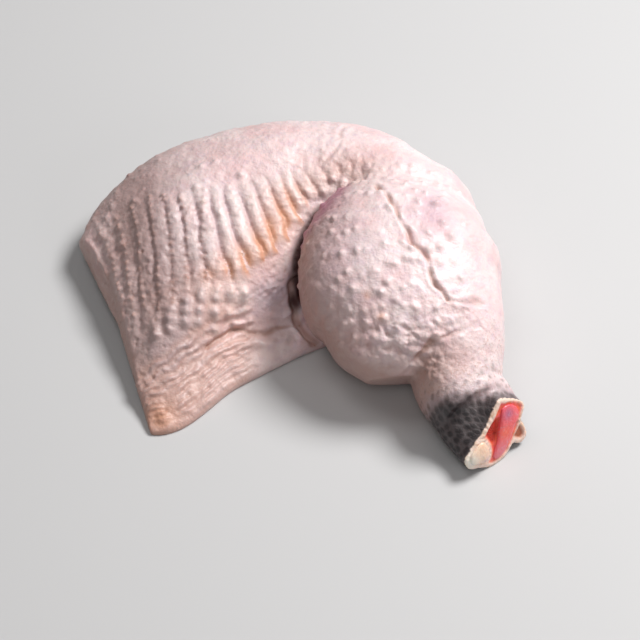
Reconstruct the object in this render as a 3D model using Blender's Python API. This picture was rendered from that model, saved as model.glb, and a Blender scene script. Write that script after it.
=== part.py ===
"""A raw chicken leg quarter, lying skin side up and folded at the knee.

The thigh, the drumstick, the shank and the hock are lofted as closed bodies, fused by a voxel
remesh and smoothed into one skin. The follicle ridges, folds, creases and goose pimples are then
raised on it. The hock is cut across, and shows the end of the shin bone and the joint's cartilage.

Sizes are in millimetres, in the named values below, and MM turns them into Blender's metres.
x runs to the right, y away from the near edge and z up.
"""

import math

import bmesh
import bpy
import numpy as np
from mathutils import Matrix, Vector, noise
from mathutils.bvhtree import BVHTree

MM = 0.001

# Fineness of the solids
VOXEL = 1.5
EASING = 5
LEG_TRIANGLES = 10700
SECTION_POINTS = 44
LOFT_STEPS = 60
GAP = 0.35
SEED = 7

# The seed of Blender's vector noise, which it takes from the clock otherwise
NOISE_SEED = 1796031724

# The thigh, from the cut hip end to the knee. Each station is a section across the thigh: its near
# and far edge in plan, how far its edges bow in, the heights of the lip at the near edge, of the
# slope's foot and middle, of the crown and of the far side, how far across the crown lies from the
# far edge (0) to the near edge (1), and how hollow it is under the skin (1 at the hip end).
THIGH_NAMES = ("near", "far", "bow", "lip", "foot", "slope", "crown", "side", "across", "hollow")
THIGH_ROWS = (
    ((-52.5, -54.5), (-84.5, 23.0), 4.5, 3.0, 5.5, 9.0, 15.0, 9.0, 0.36, 1.0),
    ((-47.0, -53.5), (-80.5, 34.5), 4.5, 3.5, 8.0, 13.5, 21.0, 10.0, 0.36, 0.75),
    ((-41.0, -50.0), (-72.5, 45.5), 3.5, 3.5, 9.5, 18.0, 27.5, 13.0, 0.35, 0.0),
    ((-34.5, -43.0), (-60.0, 57.5), 2.5, 4.0, 10.0, 21.0, 32.0, 15.0, 0.34, 0.0),
    ((-27.0, -34.0), (-40.5, 67.0), 1.0, 4.5, 9.5, 24.0, 35.5, 16.0, 0.32, 0.0),
    ((-17.0, -26.0), (-21.0, 72.5), 0.0, 4.5, 8.5, 24.5, 38.0, 17.0, 0.32, 0.0),
    ((-5.0, -17.0), (-2.0, 74.0), 0.0, 4.5, 7.5, 23.0, 39.0, 18.0, 0.34, 0.0),
    ((7.0, -9.0), (14.0, 71.0), 0.0, 5.0, 8.0, 23.0, 41.0, 19.0, 0.40, 0.0),
    ((20.0, 6.0), (31.0, 61.5), 0.0, 8.0, 14.0, 34.0, 43.0, 20.0, 0.50, 0.0),
    ((34.0, 10.0), (45.0, 46.0), 0.0, 8.0, 14.0, 34.0, 39.0, 18.0, 0.55, 0.0),
)
SKIN = 3.5

# The drumstick and the shank: points of the centre line, half width across it and half height.
LIMB_NAMES = ("centre", "wide", "high")
CALF_ROWS = (
    ((30.0, 41.0, 20.0), 9.0, 8.0),
    ((31.0, 34.0, 21.0), 17.5, 15.0),
    ((31.0, 25.0, 22.5), 25.5, 20.5),
    ((28.0, 12.5, 24.5), 33.0, 24.5),
    ((27.5, -2.0, 24.0), 34.2, 24.5),
    ((30.5, -16.0, 21.5), 31.5, 22.0),
    ((31.5, -27.5, 17.0), 25.0, 17.0),
    ((32.5, -34.5, 13.0), 15.0, 9.0),
)
SHANK_ROWS = (
    ((43.0, -6.0, 23.0), 18.5, 19.0),
    ((45.5, -20.0, 19.5), 17.5, 18.0),
    ((47.0, -32.0, 16.0), 15.5, 15.5),
    ((49.0, -40.0, 14.4), 14.0, 13.8),
    ((53.0, -46.0, 13.4), 11.5, 11.5),
)
KNEE = dict(centre=(27.0, 32.5, 18.0), size=(27.5, 24.5, 24.5))

# The cut across the hock: its middle, the way that it faces and the long way across it, and its
# outline, the long and the short way. Behind it the hock runs into the shank along HOCK_ROWS: the
# depth behind the cut, how far the outline has turned into an ellipse, and that ellipse's shift and
# half size the long and the short way.
CUT_MIDDLE = (60.8, -54.0, 12.5)
CUT_FACES = (0.636, -0.707, 0.309)
CUT_LONG = (0.415, 0.651, 0.635)
CUT_OUTLINE = (
    (9.5, -6.4),
    (11.3, -2.9),
    (12.4, 1.9),
    (12.5, 5.0),
    (11.4, 7.2),
    (8.0, 8.4),
    (3.0, 10.2),
    (-3.8, 11.0),
    (-7.0, 10.2),
    (-9.6, 8.7),
    (-11.6, 6.6),
    (-12.8, 3.2),
    (-14.2, 0.2),
    (-15.2, -2.4),
    (-14.6, -5.2),
    (-12.9, -6.9),
    (-8.5, -6.6),
    (-2.4, -5.6),
    (4.3, -5.8),
)
HOCK_ROWS = (
    (17.0, 1.0, 4.0, -3.6, 13.4, 11.6),
    (12.0, 1.0, 2.3, -1.8, 14.6, 10.6),
    (8.0, 1.0, 1.4, -0.8, 14.8, 9.9),
    (4.0, 0.6, -0.2, 0.2, 14.4, 9.2),
    (1.5, 0.1, -1.2, 0.8, 13.8, 8.6),
    (0.0, 0.0, -1.4, 1.0, 13.8, 8.6),
    (-5.0, 0.0, -1.4, 1.0, 13.8, 8.6),
)

# The flap of skin and tendon that sticks out on the right of the cut: its outline in the cut, and
# how it shrinks behind it, as depth and share of its size.
FLAP_OUTLINE = (
    (7.5, 5.0),
    (6.8, 8.8),
    (5.8, 11.4),
    (4.4, 13.9),
    (2.6, 15.1),
    (0.6, 14.8),
    (-0.8, 13.2),
    (-1.2, 10.6),
    (-1.5, 6.0),
)
FLAP_ROWS = ((6.0, 0.45), (4.0, 0.8), (2.0, 0.95), (0.0, 1.0), (-5.0, 1.0))

# The shin bone. Its shaft starts inside the knee: centre and radius. Its end in the cut has two
# lobes: its outline in the cut, and its domed end, as depth behind the cut and share of its size.
SHAFT_NAMES = ("centre", "radius")
SHAFT_ROWS = (
    ((36.0, 10.0, 21.0), 2.5),
    ((36.6, 7.0, 21.0), 4.6),
    ((41.0, -10.0, 19.0), 4.0),
    ((47.0, -28.0, 16.0), 3.8),
    ((53.0, -39.5, 13.8), 4.6),
)
BONE_OUTLINE = (
    (4.4, -1.0),
    (7.2, -2.2),
    (9.4, 0.3),
    (9.4, 4.0),
    (7.4, 6.5),
    (4.2, 7.0),
    (1.0, 7.9),
    (-3.9, 8.6),
    (-7.0, 8.2),
    (-8.8, 6.8),
    (-8.3, 4.9),
    (-5.4, 3.9),
    (-2.3, 2.6),
    (1.0, 0.8),
)
BONE_ROWS = ((7.5, 0.7), (4.5, 0.9), (2.0, 1.0), (0.4, 0.98), (-0.4, 0.88), (-0.9, 0.66), (-1.1, 0.3))

# The cartilage at the low corner of the cut: its outline, and its depth and share of size.
CARTILAGE_OUTLINE = (
    (-6.2, -4.2),
    (-5.4, -2.6),
    (-6.4, 0.3),
    (-8.4, 2.5),
    (-10.4, 2.9),
    (-11.7, 1.1),
    (-13.7, -2.2),
    (-13.2, -4.4),
    (-11.4, -5.5),
    (-8.6, -5.1),
)
CARTILAGE_ROWS = ((4.0, 0.6), (3.2, 0.85), (1.5, 1.0), (-0.2, 0.97), (-0.8, 0.8), (-1.1, 0.45))

# Where the knee's bodies are blended, how far the underside sags flat on what it lies on, and the
# height under which a point belongs to that flat underside.
BLEND = dict(centre=(34.0, 38.0, 38.0), size=(32.0, 24.0, 26.0), iterations=70)
SAG = 0.8
FLAT = 0.35

# The follicle ridges down the near slope of the thigh: in plan from top to foot, their height and
# how beaded they are. The first ones fan out round the knee.
RIDGES = (
    (((17, 42), (18, 36), (19, 30)), 0.4, 0.5),
    (((12, 43), (14, 37), (15, 31)), 0.6, 0.5),
    (((8, 44), (10, 38), (12, 32)), 0.7, 0.5),
    (((3, 44), (6, 39), (9, 32)), 0.8, 0.4),
    (((-2, 42), (2, 37), (5, 31)), 1.0, 0.4),
    (((-6, 40), (-2, 34), (2, 28)), 1.1, 0.3),
    (((-11, 38), (-7, 32), (-3, 26)), 1.3, 0.2),
    (((-16, 37), (-11, 29), (-7, 22)), 1.4, 0.15),
    (((-21, 36), (-16, 26), (-11, 14)), 1.5, 0.12),
    (((-27, 33), (-21, 20), (-15, 7)), 1.5, 0.12),
    (((-32, 32), (-26, 15), (-19, 2)), 1.5, 0.12),
    (((-38, 31), (-32, 12), (-25, -3)), 1.4, 0.2),
    (((-43, 30), (-38, 10), (-33, -6)), 1.3, 0.5),
    (((-48, 30), (-44, 9), (-40, -11)), 1.2, 0.8),
    (((-54, 30), (-49, 7), (-46, -14)), 1.1, 0.9),
    (((-59, 29), (-54, 5), (-51, -17)), 1.0, 1.0),
    (((-64, 27), (-59, 4), (-56, -19)), 0.9, 1.0),
    (((-69, 25), (-64, 4), (-60, -20)), 0.9, 1.0),
    (((-74, 24), (-69, 6), (-64, -15)), 0.8, 1.0),
    (((-78, 22), (-74, 9), (-69, -4)), 0.7, 1.0),
    (((-40.5, -9), (-40.5, -15), (-40, -22)), 1.1, 0.8),
    (((-35, -8), (-35.5, -13), (-34.5, -20)), 1.2, 0.8),
    (((-29.5, -5), (-29.5, -10), (-28.5, -16)), 1.2, 0.8),
    (((-24, -2), (-24, -5), (-23, -10)), 0.9, 0.8),
)
RIDGE_PITCH = 6.6
RIDGE_RISE = 9.0
RIDGE_WANDER = dict(wavelength=7.0, reach=1.1)
BEAD_LENGTH = 5.6

# The ripples along the ledge: from the near corner of the hip end along the near edge.
LEDGE_RIPPLES = dict(first=0.82, last=0.98, count=5, start=0.03, end=0.5, width=1.3, height=0.55)

# Folds, as lines in plan, their height and width: the bag where the slope meets the ledge, the
# fan at the near corner and the wrinkles of the hip end's rim.
FOLDS = (
    (((-35, -26), (-29, -20), (-22, -17), (-14, -15), (-8, -11)), 1.3, 2.0),
    (((-12, -16), (-6, -14), (-1, -14)), 0.7, 1.3),
    (((-50, -50), (-46, -42), (-43, -34)), 0.7, 1.3),
    (((-48, -52), (-41, -46), (-34, -40)), 0.7, 1.3),
    (((-82, 22), (-77, 14), (-72, 2)), 0.7, 1.3),
    (((-79, 26), (-73, 16), (-69, 6)), 0.6, 1.3),
)

# Creases, as lines in plan, their depth and width: the one down the drumstick, its branch, the
# bag's edge on the shank, the knee's and the slope's foot.
CREASES = (
    (((21, 15), (25, 6), (29, -3), (33, -8), (36, -13), (39, -19), (43, -23)), 1.1, 1.2),
    (((42, -22), (49, -21), (56, -19)), 0.6, 1.2),
    (((33, -41), (33, -38), (35, -35.5), (39, -35.5), (43, -35)), 1.2, 1.4),
    (((6, 60), (4, 52), (3, 45), (-2, 38)), 0.6, 1.2),
    (((-37, -25), (-33, -19), (-26, -14.5), (-17, -12.5), (-10, -8)), 1.2, 1.3),
)
CREASE_LIP = 0.35

# The fold between thigh and drumstick: its depth, its width and how far up it runs.
JOIN = dict(depth=2.4, width=2.0, top=30.0)

# The goose pimples: spacing of their rows, radius and height.
CALF_PIMPLES = dict(spacing=4.8, radius=1.6, height=0.7)
THIGH_PIMPLES = dict(spacing=5.6, radius=1.4, height=0.3)
LEDGE_DIMPLES = dict(spacing=4.8, radius=1.4, height=-0.45)

# The loose crumpling of the skin: where it is, its size, its wavelength and its height.
CRUMPLES = (
    ((0, 0, 20), (400, 400, 400), 7.0, 0.4),
    ((8, 41, 38), (17, 7, 16), 4.0, 0.6),
    ((28, -34, 27), (14, 7, 10), 4.8, 1.1),
    ((40, -24, 34), (10, 8, 12), 4.4, 0.5),
)


def clear_scene():
    for obj in list(bpy.data.objects):
        bpy.data.objects.remove(obj)


def spline(values, position):
    """The value at a position (0 to 1) on a smooth curve through evenly spaced values."""
    values = np.asarray(values, float)
    spot = position * (len(values) - 1)
    first = min(int(spot), len(values) - 2)
    t = spot - first
    a, b = values[first], values[first + 1]
    before = values[first - 1] if first else 2 * a - b
    after = values[first + 2] if first + 2 < len(values) else 2 * b - a
    return 0.5 * (
        2 * a
        + (b - before) * t
        + (2 * before - 5 * a + 4 * b - after) * t**2
        + (3 * a - before - 3 * b + after) * t**3
    )


def station(names, rows, position):
    """The named values at a position (0 to 1) along a row of stations."""
    return {name: spline([row[i] for row in rows], position) for i, name in enumerate(names)}


def new_object(name, mesh):
    """An object made from a bmesh, which it frees."""
    data = bpy.data.meshes.new(name)
    mesh.to_mesh(data)
    mesh.free()
    obj = bpy.data.objects.new(name, data)
    bpy.context.scene.collection.objects.link(obj)
    return obj


def loft(name, rings):
    """A closed body through rings of equally many points, with a fan at each end."""
    mesh = bmesh.new()
    loops = [[mesh.verts.new(Vector(point) * MM) for point in ring] for ring in rings]
    count = len(loops[0])
    for one, other in zip(loops, loops[1:]):
        for i in range(count):
            j = (i + 1) % count
            mesh.faces.new((one[i], one[j], other[j], other[i]))
    for ring in (loops[0], loops[-1]):
        centre = mesh.verts.new(sum((v.co for v in ring), Vector()) / count)
        for i in range(count):
            mesh.faces.new((ring[i], ring[(i + 1) % count], centre))
    bmesh.ops.recalc_face_normals(mesh, faces=mesh.faces)
    return new_object(name, mesh)


def closed_curve(points, count):
    """Evenly many points on a smooth closed curve through the given ones."""
    points = np.asarray(points, float)
    n = len(points)
    found = []
    for k in range(count):
        spot = k * n / count
        i = int(spot)
        around = np.array([points[(i + j) % n] for j in (-1, 0, 1, 2)])
        found.append(spline(around, (1 + spot - i) / 3))
    return found


def thigh_section(position):
    """The closed outline across the thigh, from the bottom of the far side over the crown to the lip."""
    at = station(THIGH_NAMES, THIGH_ROWS, position)
    near = Vector((*at["near"], 0.0))
    far = Vector((*at["far"], 0.0))
    lip, foot, slope, crown, side = (at[name] for name in ("lip", "foot", "slope", "crown", "side"))
    hollow = min(max(at["hollow"], 0.0), 1.0)
    width = (near - far).length
    inward = (near - far).cross(Vector((0, 0, -1))).normalized()
    round_off = 0.45 * side / width
    top = (
        (0.0, side * 0.85),
        (round_off * 0.8, side + 0.62 * (crown - side)),
        (at["across"] * 0.62, crown * 0.975),
        (at["across"], crown),
        (0.5 * (at["across"] + 0.72), 0.55 * crown + 0.45 * slope),
        (0.72, slope),
        (0.84, foot),
        (0.975, lip),
        (1.0, 0.5 * lip),
    )
    under = (
        (0.98, 0.0),
        (0.85, hollow * (foot - SKIN)),
        (0.5, hollow * (0.5 * (crown + slope) - SKIN)),
        (0.25, hollow * (crown - SKIN)),
        (0.10, hollow * (crown - 2 * SKIN)),
        (round_off * 0.4, side * (0.25 + 0.45 * hollow)),
    )
    ring = []
    for share, height in closed_curve(top + under, SECTION_POINTS):
        bowed = at["bow"] * 6.75 * max(share, 0.0) * (1 - min(share, 1.0)) ** 2
        ring.append(far + (near - far) * share + inward * bowed + Vector((0, 0, max(height, 0.0))))
    return ring


def superellipse(angle, squareness):
    """A point on a rounded square of half size 1, an ellipse where the squareness is 2."""
    c, s = math.cos(angle), math.sin(angle)
    size = (abs(c) ** squareness + abs(s) ** squareness) ** (-1 / squareness)
    return size * c, size * s


def turns():
    return [2 * math.pi * k / SECTION_POINTS for k in range(SECTION_POINTS)]


def limb_frame(rows, position):
    """The centre, the way to the left and the way up of a limb at a position along it."""
    centre = Vector(station(LIMB_NAMES, rows, position)["centre"])
    ahead = Vector(station(LIMB_NAMES, rows, min(position + 0.02, 1.0))["centre"])
    behind = Vector(station(LIMB_NAMES, rows, max(position - 0.02, 0.0))["centre"])
    way = (ahead - behind).normalized()
    across = way.cross(Vector((0, 0, 1))).normalized()
    return centre, across, across.cross(way)


def limb_section(rows, position):
    centre, across, up = limb_frame(rows, position)
    at = station(LIMB_NAMES, rows, position)
    ring = []
    for angle in turns():
        c, s = superellipse(angle, 2.3)
        ring.append(centre + across * (at["wide"] * c) + up * (at["high"] * s))
    return ring


def ball(name, centre, size):
    """A closed ellipsoid."""
    mesh = bmesh.new()
    bmesh.ops.create_icosphere(mesh, subdivisions=4, radius=1.0)
    for vertex in mesh.verts:
        point = Vector([c * s for c, s in zip(vertex.co, size)])
        vertex.co = (Vector(centre) + point) * MM
    return new_object(name, mesh)


def cut_frame():
    """The cut's long way, short way and the way that it faces, as the columns of a matrix."""
    out = Vector(CUT_FACES).normalized()
    long = Vector(CUT_LONG)
    long = (long - out * long.dot(out)).normalized()
    return Matrix((long, long.cross(out), out)).transposed()


def in_cut(long, short, out):
    """A point given by its place in the cut and its height over it."""
    return Vector(CUT_MIDDLE) + cut_frame() @ Vector((long, short, out))


def hock_rings():
    """Rings from inside the shank to the outline of the cut."""
    outline = closed_curve(CUT_OUTLINE, SECTION_POINTS)
    middle = np.array(HOCK_ROWS[-1][2:4])
    rings = []
    for depth, round_off, long, short, half_long, half_short in HOCK_ROWS:
        ring = []
        for place in outline:
            way = place - middle
            c, s = superellipse(math.atan2(way[1] / half_short, way[0] / half_long), 2.5)
            ellipse = np.array((long + half_long * c, short + half_short * s))
            ring.append(in_cut(*(place + (ellipse - place) * round_off), -depth))
        rings.append(ring)
    return rings


def outward(curve):
    """The way out of a closed curve at each of its points."""
    along = np.roll(curve, -1, axis=0) - np.roll(curve, 1, axis=0)
    out = np.stack((along[:, 1], -along[:, 0]), axis=1)
    out /= np.linalg.norm(out, axis=1)[:, None]
    after = np.roll(curve, -1, axis=0)
    area = (curve[:, 0] * after[:, 1] - curve[:, 1] * after[:, 0]).sum()
    return out * np.sign(area)


def scaled_rings(outline, rows, count, grown=0.0):
    """Rings parallel to the cut: an outline at depths and shares of its size, grown all round."""
    curve = np.array(closed_curve(outline, count))
    middle = curve.mean(axis=0)
    more = grown * outward(curve)
    rings = []
    for depth, share in rows:
        places = middle + (curve - middle) * share + more
        rings.append([in_cut(*place, -depth) for place in places])
    return rings


def make_bodies():
    steps = [i / LOFT_STEPS for i in range(LOFT_STEPS + 1)]
    return [
        loft("thigh", [thigh_section(p) for p in steps]),
        loft("calf", [limb_section(CALF_ROWS, p) for p in steps]),
        loft("shank", [limb_section(SHANK_ROWS, p) for p in steps]),
        loft("hock", hock_rings()),
        ball("knee", KNEE["centre"], KNEE["size"]),
        loft("flap", scaled_rings(FLAP_OUTLINE, FLAP_ROWS, SECTION_POINTS)),
    ]


def points_of(mesh):
    """The mesh's points, in millimetres."""
    points = np.empty(len(mesh.vertices) * 3)
    mesh.vertices.foreach_get("co", points)
    return points.reshape(-1, 3) / MM


def move_points(mesh, points):
    mesh.vertices.foreach_set("co", (points * MM).ravel())
    mesh.update()


def normals_of(mesh):
    normals = np.empty(len(mesh.vertices) * 3)
    mesh.vertex_normals.foreach_get("vector", normals)
    return normals.reshape(-1, 3)


def bake(obj):
    """Applies the object's modifiers."""
    evaluated = obj.evaluated_get(bpy.context.evaluated_depsgraph_get())
    mesh = bpy.data.meshes.new_from_object(evaluated)
    obj.modifiers.clear()
    obj.data = mesh


def fuse(name, bodies, voxel, smoothing):
    """One closed mesh of the bodies, with its creases eased."""
    whole = bmesh.new()
    for body in bodies:
        whole.from_mesh(body.data)
        bpy.data.objects.remove(body)
    obj = new_object(name, whole)
    remesh = obj.modifiers.new("fuse", "REMESH")
    remesh.mode = "VOXEL"
    remesh.voxel_size = voxel * MM
    smooth = obj.modifiers.new("ease", "SMOOTH")
    smooth.factor = 0.5
    smooth.iterations = smoothing
    bake(obj)
    return obj


def blend_knee(obj, iterations):
    """Smooths the knee's bodies into one dome."""
    points = points_of(obj.data)
    reach = np.linalg.norm((points - BLEND["centre"]) / BLEND["size"], axis=1)
    weights = np.clip(2.0 * (1.0 - reach), 0.0, 1.0)
    group = obj.vertex_groups.new(name="knee")
    for index in np.nonzero(weights)[0]:
        group.add([int(index)], float(weights[index]), "REPLACE")
    smooth = obj.modifiers.new("blend", "SMOOTH")
    smooth.factor = 0.5
    smooth.iterations = iterations
    smooth.vertex_group = "knee"
    bake(obj)
    obj.vertex_groups.clear()


def rest_flat(obj, sag):
    """Flattens the soft underside where it lies."""
    points = points_of(obj.data)
    points[:, 2] -= sag
    points[points[:, 2] < FLAT, 2] = 0.0
    move_points(obj.data, points)


def drop(tree, x, y):
    """The point of the skin under a place in plan, or None beside it."""
    hit = tree.ray_cast(Vector((x, y, 200.0)) * MM, Vector((0, 0, -1)))[0]
    return None if hit is None else np.array(hit) / MM


def skin_line(tree, corners):
    """Points on the skin along a smooth curve through places in plan."""
    corners = np.asarray(corners, float)
    length = np.linalg.norm(np.diff(corners, axis=0), axis=1).sum()
    count = max(4, int(length / 1.5))
    found = [drop(tree, *spline(corners, k / count)) for k in range(count + 1)]
    return np.array([point for point in found if point is not None])


def near_line(points, line, reach):
    """Of the points within reach of a line: their indexes, distances and places along it."""
    low, high = line.min(axis=0) - reach, line.max(axis=0) + reach
    index = np.nonzero(((points > low) & (points < high)).all(axis=1))[0]
    best = np.full(len(index), np.inf)
    place = np.zeros(len(index))
    start = 0.0
    for a, b in zip(line, line[1:]):
        edge = b - a
        length = max(np.linalg.norm(edge), 1e-6)
        t = np.clip((points[index] - a) @ edge / length**2, 0.0, 1.0)
        distance = np.linalg.norm(points[index] - a - t[:, None] * edge, axis=1)
        closer = distance < best
        best[closer] = distance[closer]
        place[closer] = start + t[closer] * length
        start += length
    return index, best, place, start


def line_height(points, line, width, height):
    """Height that a fold, or a crease where it is negative, adds at each point."""
    found = np.zeros(len(points))
    index, distance, place, length = near_line(points, line, 4 * width)
    rise = height * np.exp(-((distance / width) ** 2))
    if height < 0:
        rise += CREASE_LIP * np.exp(-(((distance - 2.2 * width) / width) ** 2))
    rise *= np.clip(np.minimum(place, length - place) / (2 * width) + 0.25, 0.0, 1.0)
    found[index] = rise
    return found


def ridge_field(tree, points):
    """Height of the ridges, which are pressed side by side: broad crests that meet in valleys."""
    wander = [noise.noise_vector(Vector(point) / RIDGE_WANDER["wavelength"]) for point in points]
    points = points + RIDGE_WANDER["reach"] * np.array(wander)
    first = np.full(len(points), 2 * RIDGE_PITCH)
    second = first.copy()
    tall = np.zeros(len(points))
    for number, (corners, high, beaded) in enumerate(RIDGES):
        line = skin_line(tree, corners)
        index, distance, place, length = near_line(points, line, 1.6 * RIDGE_PITCH)
        turn = 2 * math.pi * (place / BEAD_LENGTH + 0.37 * number)
        bead = 0.5 - 0.5 * np.cos(turn)
        fade = np.clip(place / min(RIDGE_RISE, length / 2), 0.0, 1.0)
        foot = np.clip((length - place) / 2.5 + 0.1, 0.0, 1.0)
        rise = high * fade * foot * (1 - 0.6 * beaded * bead)
        nearest = distance < first[index]
        between = ~nearest & (distance < second[index])
        second[index[nearest]] = first[index[nearest]]
        second[index[between]] = distance[between]
        first[index[nearest]] = distance[nearest]
        tall[index[nearest]] = rise[nearest]
    share = np.clip(2 * first / np.minimum(first + second, RIDGE_PITCH), 0.0, 1.0)
    return tall * (1 - share**2.4)


def pimple_height(points, places, radius, heights):
    """Height that small round bumps at the places add at each point."""
    found = np.zeros(len(points))
    for place, height in zip(places, heights):
        index = np.nonzero((np.abs(points - place) < 2.5 * radius).all(axis=1))[0]
        distance = np.linalg.norm(points[index] - place, axis=1)
        found[index] += height * np.exp(-((distance / radius) ** 2))
    return found


def calf_places(tree, spacing, rng):
    """Uneven rows of places round the left and top of the drumstick."""
    places = []
    rows = int(62 / spacing)
    for row in range(rows):
        centre, across, up = limb_frame(CALF_ROWS, 0.16 + 0.74 * row / rows)
        step = spacing / station(LIMB_NAMES, CALF_ROWS, 0.16 + 0.74 * row / rows)["wide"]
        angle = -0.2 + 0.5 * step * (row % 2)
        while angle < 2.0:
            turn = angle + rng.uniform(-0.45, 0.45) * step
            start = centre + centre_step(row, rows) * rng.uniform(-0.45, 0.45)
            way = across * math.cos(turn) + up * math.sin(turn)
            hit = tree.ray_cast(start * MM, way)[0]
            if hit is not None:
                places.append(np.array(hit) / MM)
            angle += step
    return places


def centre_step(row, rows):
    """The way from one row of the drumstick's pimples to the next."""
    here = limb_frame(CALF_ROWS, 0.16 + 0.74 * row / rows)[0]
    there = limb_frame(CALF_ROWS, 0.16 + 0.74 * (row + 1) / rows)[0]
    return there - here


def thigh_spot(position, share):
    """A place in plan: how far along the thigh (0 to 1), and how far across it from the far edge."""
    at = station(THIGH_NAMES, THIGH_ROWS, position)
    return at["far"] + (at["near"] - at["far"]) * share


def thigh_places(tree, spacing, low, high, rng):
    """Uneven rows of places across the thigh, between two shares of its width."""
    places = []
    rows = int(112 / spacing)
    for row in range(rows):
        position = 0.04 + 0.74 * row / rows
        width = np.linalg.norm(thigh_spot(position, 0.0) - thigh_spot(position, 1.0))
        share = low + 0.5 * spacing / width * (row % 2)
        while share < high:
            there = share + rng.uniform(-0.4, 0.4) * spacing / width
            shifted = min(max(position + rng.uniform(-0.3, 0.3) / rows, 0.0), 1.0)
            hit = drop(tree, *thigh_spot(shifted, there))
            if hit is not None:
                places.append(hit)
            share += spacing / width
    return places


def ripple_height(tree, points):
    """Height of the ripples that run along the ledge from its corner at the hip end."""
    kind = LEDGE_RIPPLES
    found = np.zeros(len(points))
    for share in np.linspace(kind["first"], kind["last"], kind["count"]):
        spread = np.linspace(kind["start"], kind["end"], 7)
        line = skin_line(tree, [thigh_spot(position, share) for position in spread])
        found = np.maximum(found, line_height(points, line, kind["width"], kind["height"]))
    return found


def crumpling(points, wavelength):
    """Uneven height of the loose skin at each point, about -1 to 1."""
    return np.array([noise.fractal(Vector(point) / wavelength, 0.9, 2.0, 3) for point in points])


def blob(points, centre, size):
    """A soft region: 1 at its centre, fading out over its size."""
    reach = (points - np.asarray(centre)) / np.asarray(size)
    return np.exp(-(reach**2).sum(axis=1))


def relief(tree, points):
    """Height of the skin's ridges, folds, creases and pimples at each point."""
    rng = np.random.default_rng(SEED)
    height = ridge_field(tree, points)
    height += ripple_height(tree, points) * np.clip(1 - 0.8 * height, 0.0, 1.0)
    for corners, high, width in FOLDS:
        height += line_height(points, skin_line(tree, corners), width, high)
    for corners, deep, width in CREASES:
        height += line_height(points, skin_line(tree, corners), width, -deep)
    for kind, places in (
        (CALF_PIMPLES, calf_places(tree, CALF_PIMPLES["spacing"], rng)),
        (THIGH_PIMPLES, thigh_places(tree, THIGH_PIMPLES["spacing"], 0.12, 0.5, rng)),
        (LEDGE_DIMPLES, thigh_places(tree, LEDGE_DIMPLES["spacing"], 0.8, 0.97, rng)),
    ):
        heights = kind["height"] * rng.uniform(0.5, 1.3, len(places))
        height += pimple_height(points, places, kind["radius"], heights)
    for centre, size, wavelength, high in CRUMPLES:
        height += high * blob(points, centre, size) * crumpling(points, wavelength)
    return height


def join_mask(points, trees):
    """How near each point is to where the thigh and the drumstick meet, from 0 to 1."""
    apart = np.zeros(len(points))
    for tree in trees:
        for index, point in enumerate(points):
            apart[index] += tree.find_nearest(Vector(point) * MM)[3] ** 2
    near = np.exp(-apart / (JOIN["width"] * MM) ** 2)
    low = np.clip((JOIN["top"] - points[:, 1]) / 8.0, 0.0, 1.0)
    return near * low * (points[:, 0] < 15)


def raise_relief(obj, trees):
    """Moves the skin out by its relief, and leaves the underside plain."""
    points = points_of(obj.data)
    normals = normals_of(obj.data)
    tree = BVHTree.FromObject(obj, bpy.context.evaluated_depsgraph_get())
    height = relief(tree, points) - JOIN["depth"] * join_mask(points, trees)
    height *= np.clip((normals[:, 2] + 0.3) / 0.4, 0.0, 1.0)
    height *= np.clip((points[:, 2] - 0.5) / 3.0, 0.0, 1.0)
    points += normals * height[:, None]
    points[:, 2] = np.maximum(points[:, 2], 0.0)
    move_points(obj.data, points)


def thin_out(obj, triangles):
    """Keeps the triangles where the skin bends most."""
    thinned = obj.modifiers.new("thin out", "DECIMATE")
    thinned.ratio = triangles / (2 * len(obj.data.polygons))
    thinned.use_collapse_triangulate = True
    bake(obj)


def carve(obj, cutter):
    """Cuts one body out of another, and removes the cutter."""
    cut = obj.modifiers.new("cut", "BOOLEAN")
    cut.object = cutter
    cut.operation = "DIFFERENCE"
    bake(obj)
    bpy.data.objects.remove(cutter)


def cut_block():
    """A block whose near face is the plane of the cut."""
    corners = ((-25.0, -25.0), (25.0, -25.0), (25.0, 25.0), (-25.0, 25.0))
    rings = [[in_cut(long, short, out) for long, short in corners] for out in (0.0, 40.0)]
    return loft("cut_block", rings)


def bone(name, grown=0.0):
    """The shin bone: its round shaft, and then its two-lobed end in the cut."""
    count = SECTION_POINTS // 2
    end = scaled_rings(BONE_OUTLINE, BONE_ROWS, count, grown)
    middle = sum(end[0], Vector()) / count
    ways = [(point - middle).normalized() for point in end[0]]
    rings = []
    steps = 2 * (len(SHAFT_ROWS) - 1)
    for k in range(steps + 1):
        at = station(SHAFT_NAMES, SHAFT_ROWS, k / steps)
        rings.append([Vector(at["centre"]) + way * (at["radius"] + grown) for way in ways])
    deeper = cut_frame().col[2] * grown
    rings[0] = [point - deeper for point in rings[0]]
    return loft(name, rings + end)


def cartilage(name, grown=0.0):
    (depth, share), *others = CARTILAGE_ROWS
    rows = [(depth + grown, share), *others]
    return loft(name, scaled_rings(CARTILAGE_OUTLINE, rows, SECTION_POINTS // 2, grown))


def paint(obj, colour, roughness):
    material = bpy.data.materials.new(obj.name)
    material.use_nodes = True
    shader = material.node_tree.nodes["Principled BSDF"]
    shader.inputs["Base Color"].default_value = (*colour, 1.0)
    shader.inputs["Roughness"].default_value = roughness
    obj.data.materials.clear()
    obj.data.materials.append(material)
    obj.data.shade_smooth()


def stand_on_origin(objects):
    """Moves everything so that the middle of the box's bottom is the origin."""
    corners = np.concatenate([points_of(obj.data) for obj in objects])
    low, high = corners.min(axis=0), corners.max(axis=0)
    shift = Vector((-0.5 * (low[0] + high[0]), -0.5 * (low[1] + high[1]), -low[2]))
    for obj in objects:
        obj.data.transform(Matrix.Translation(shift * MM))


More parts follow.
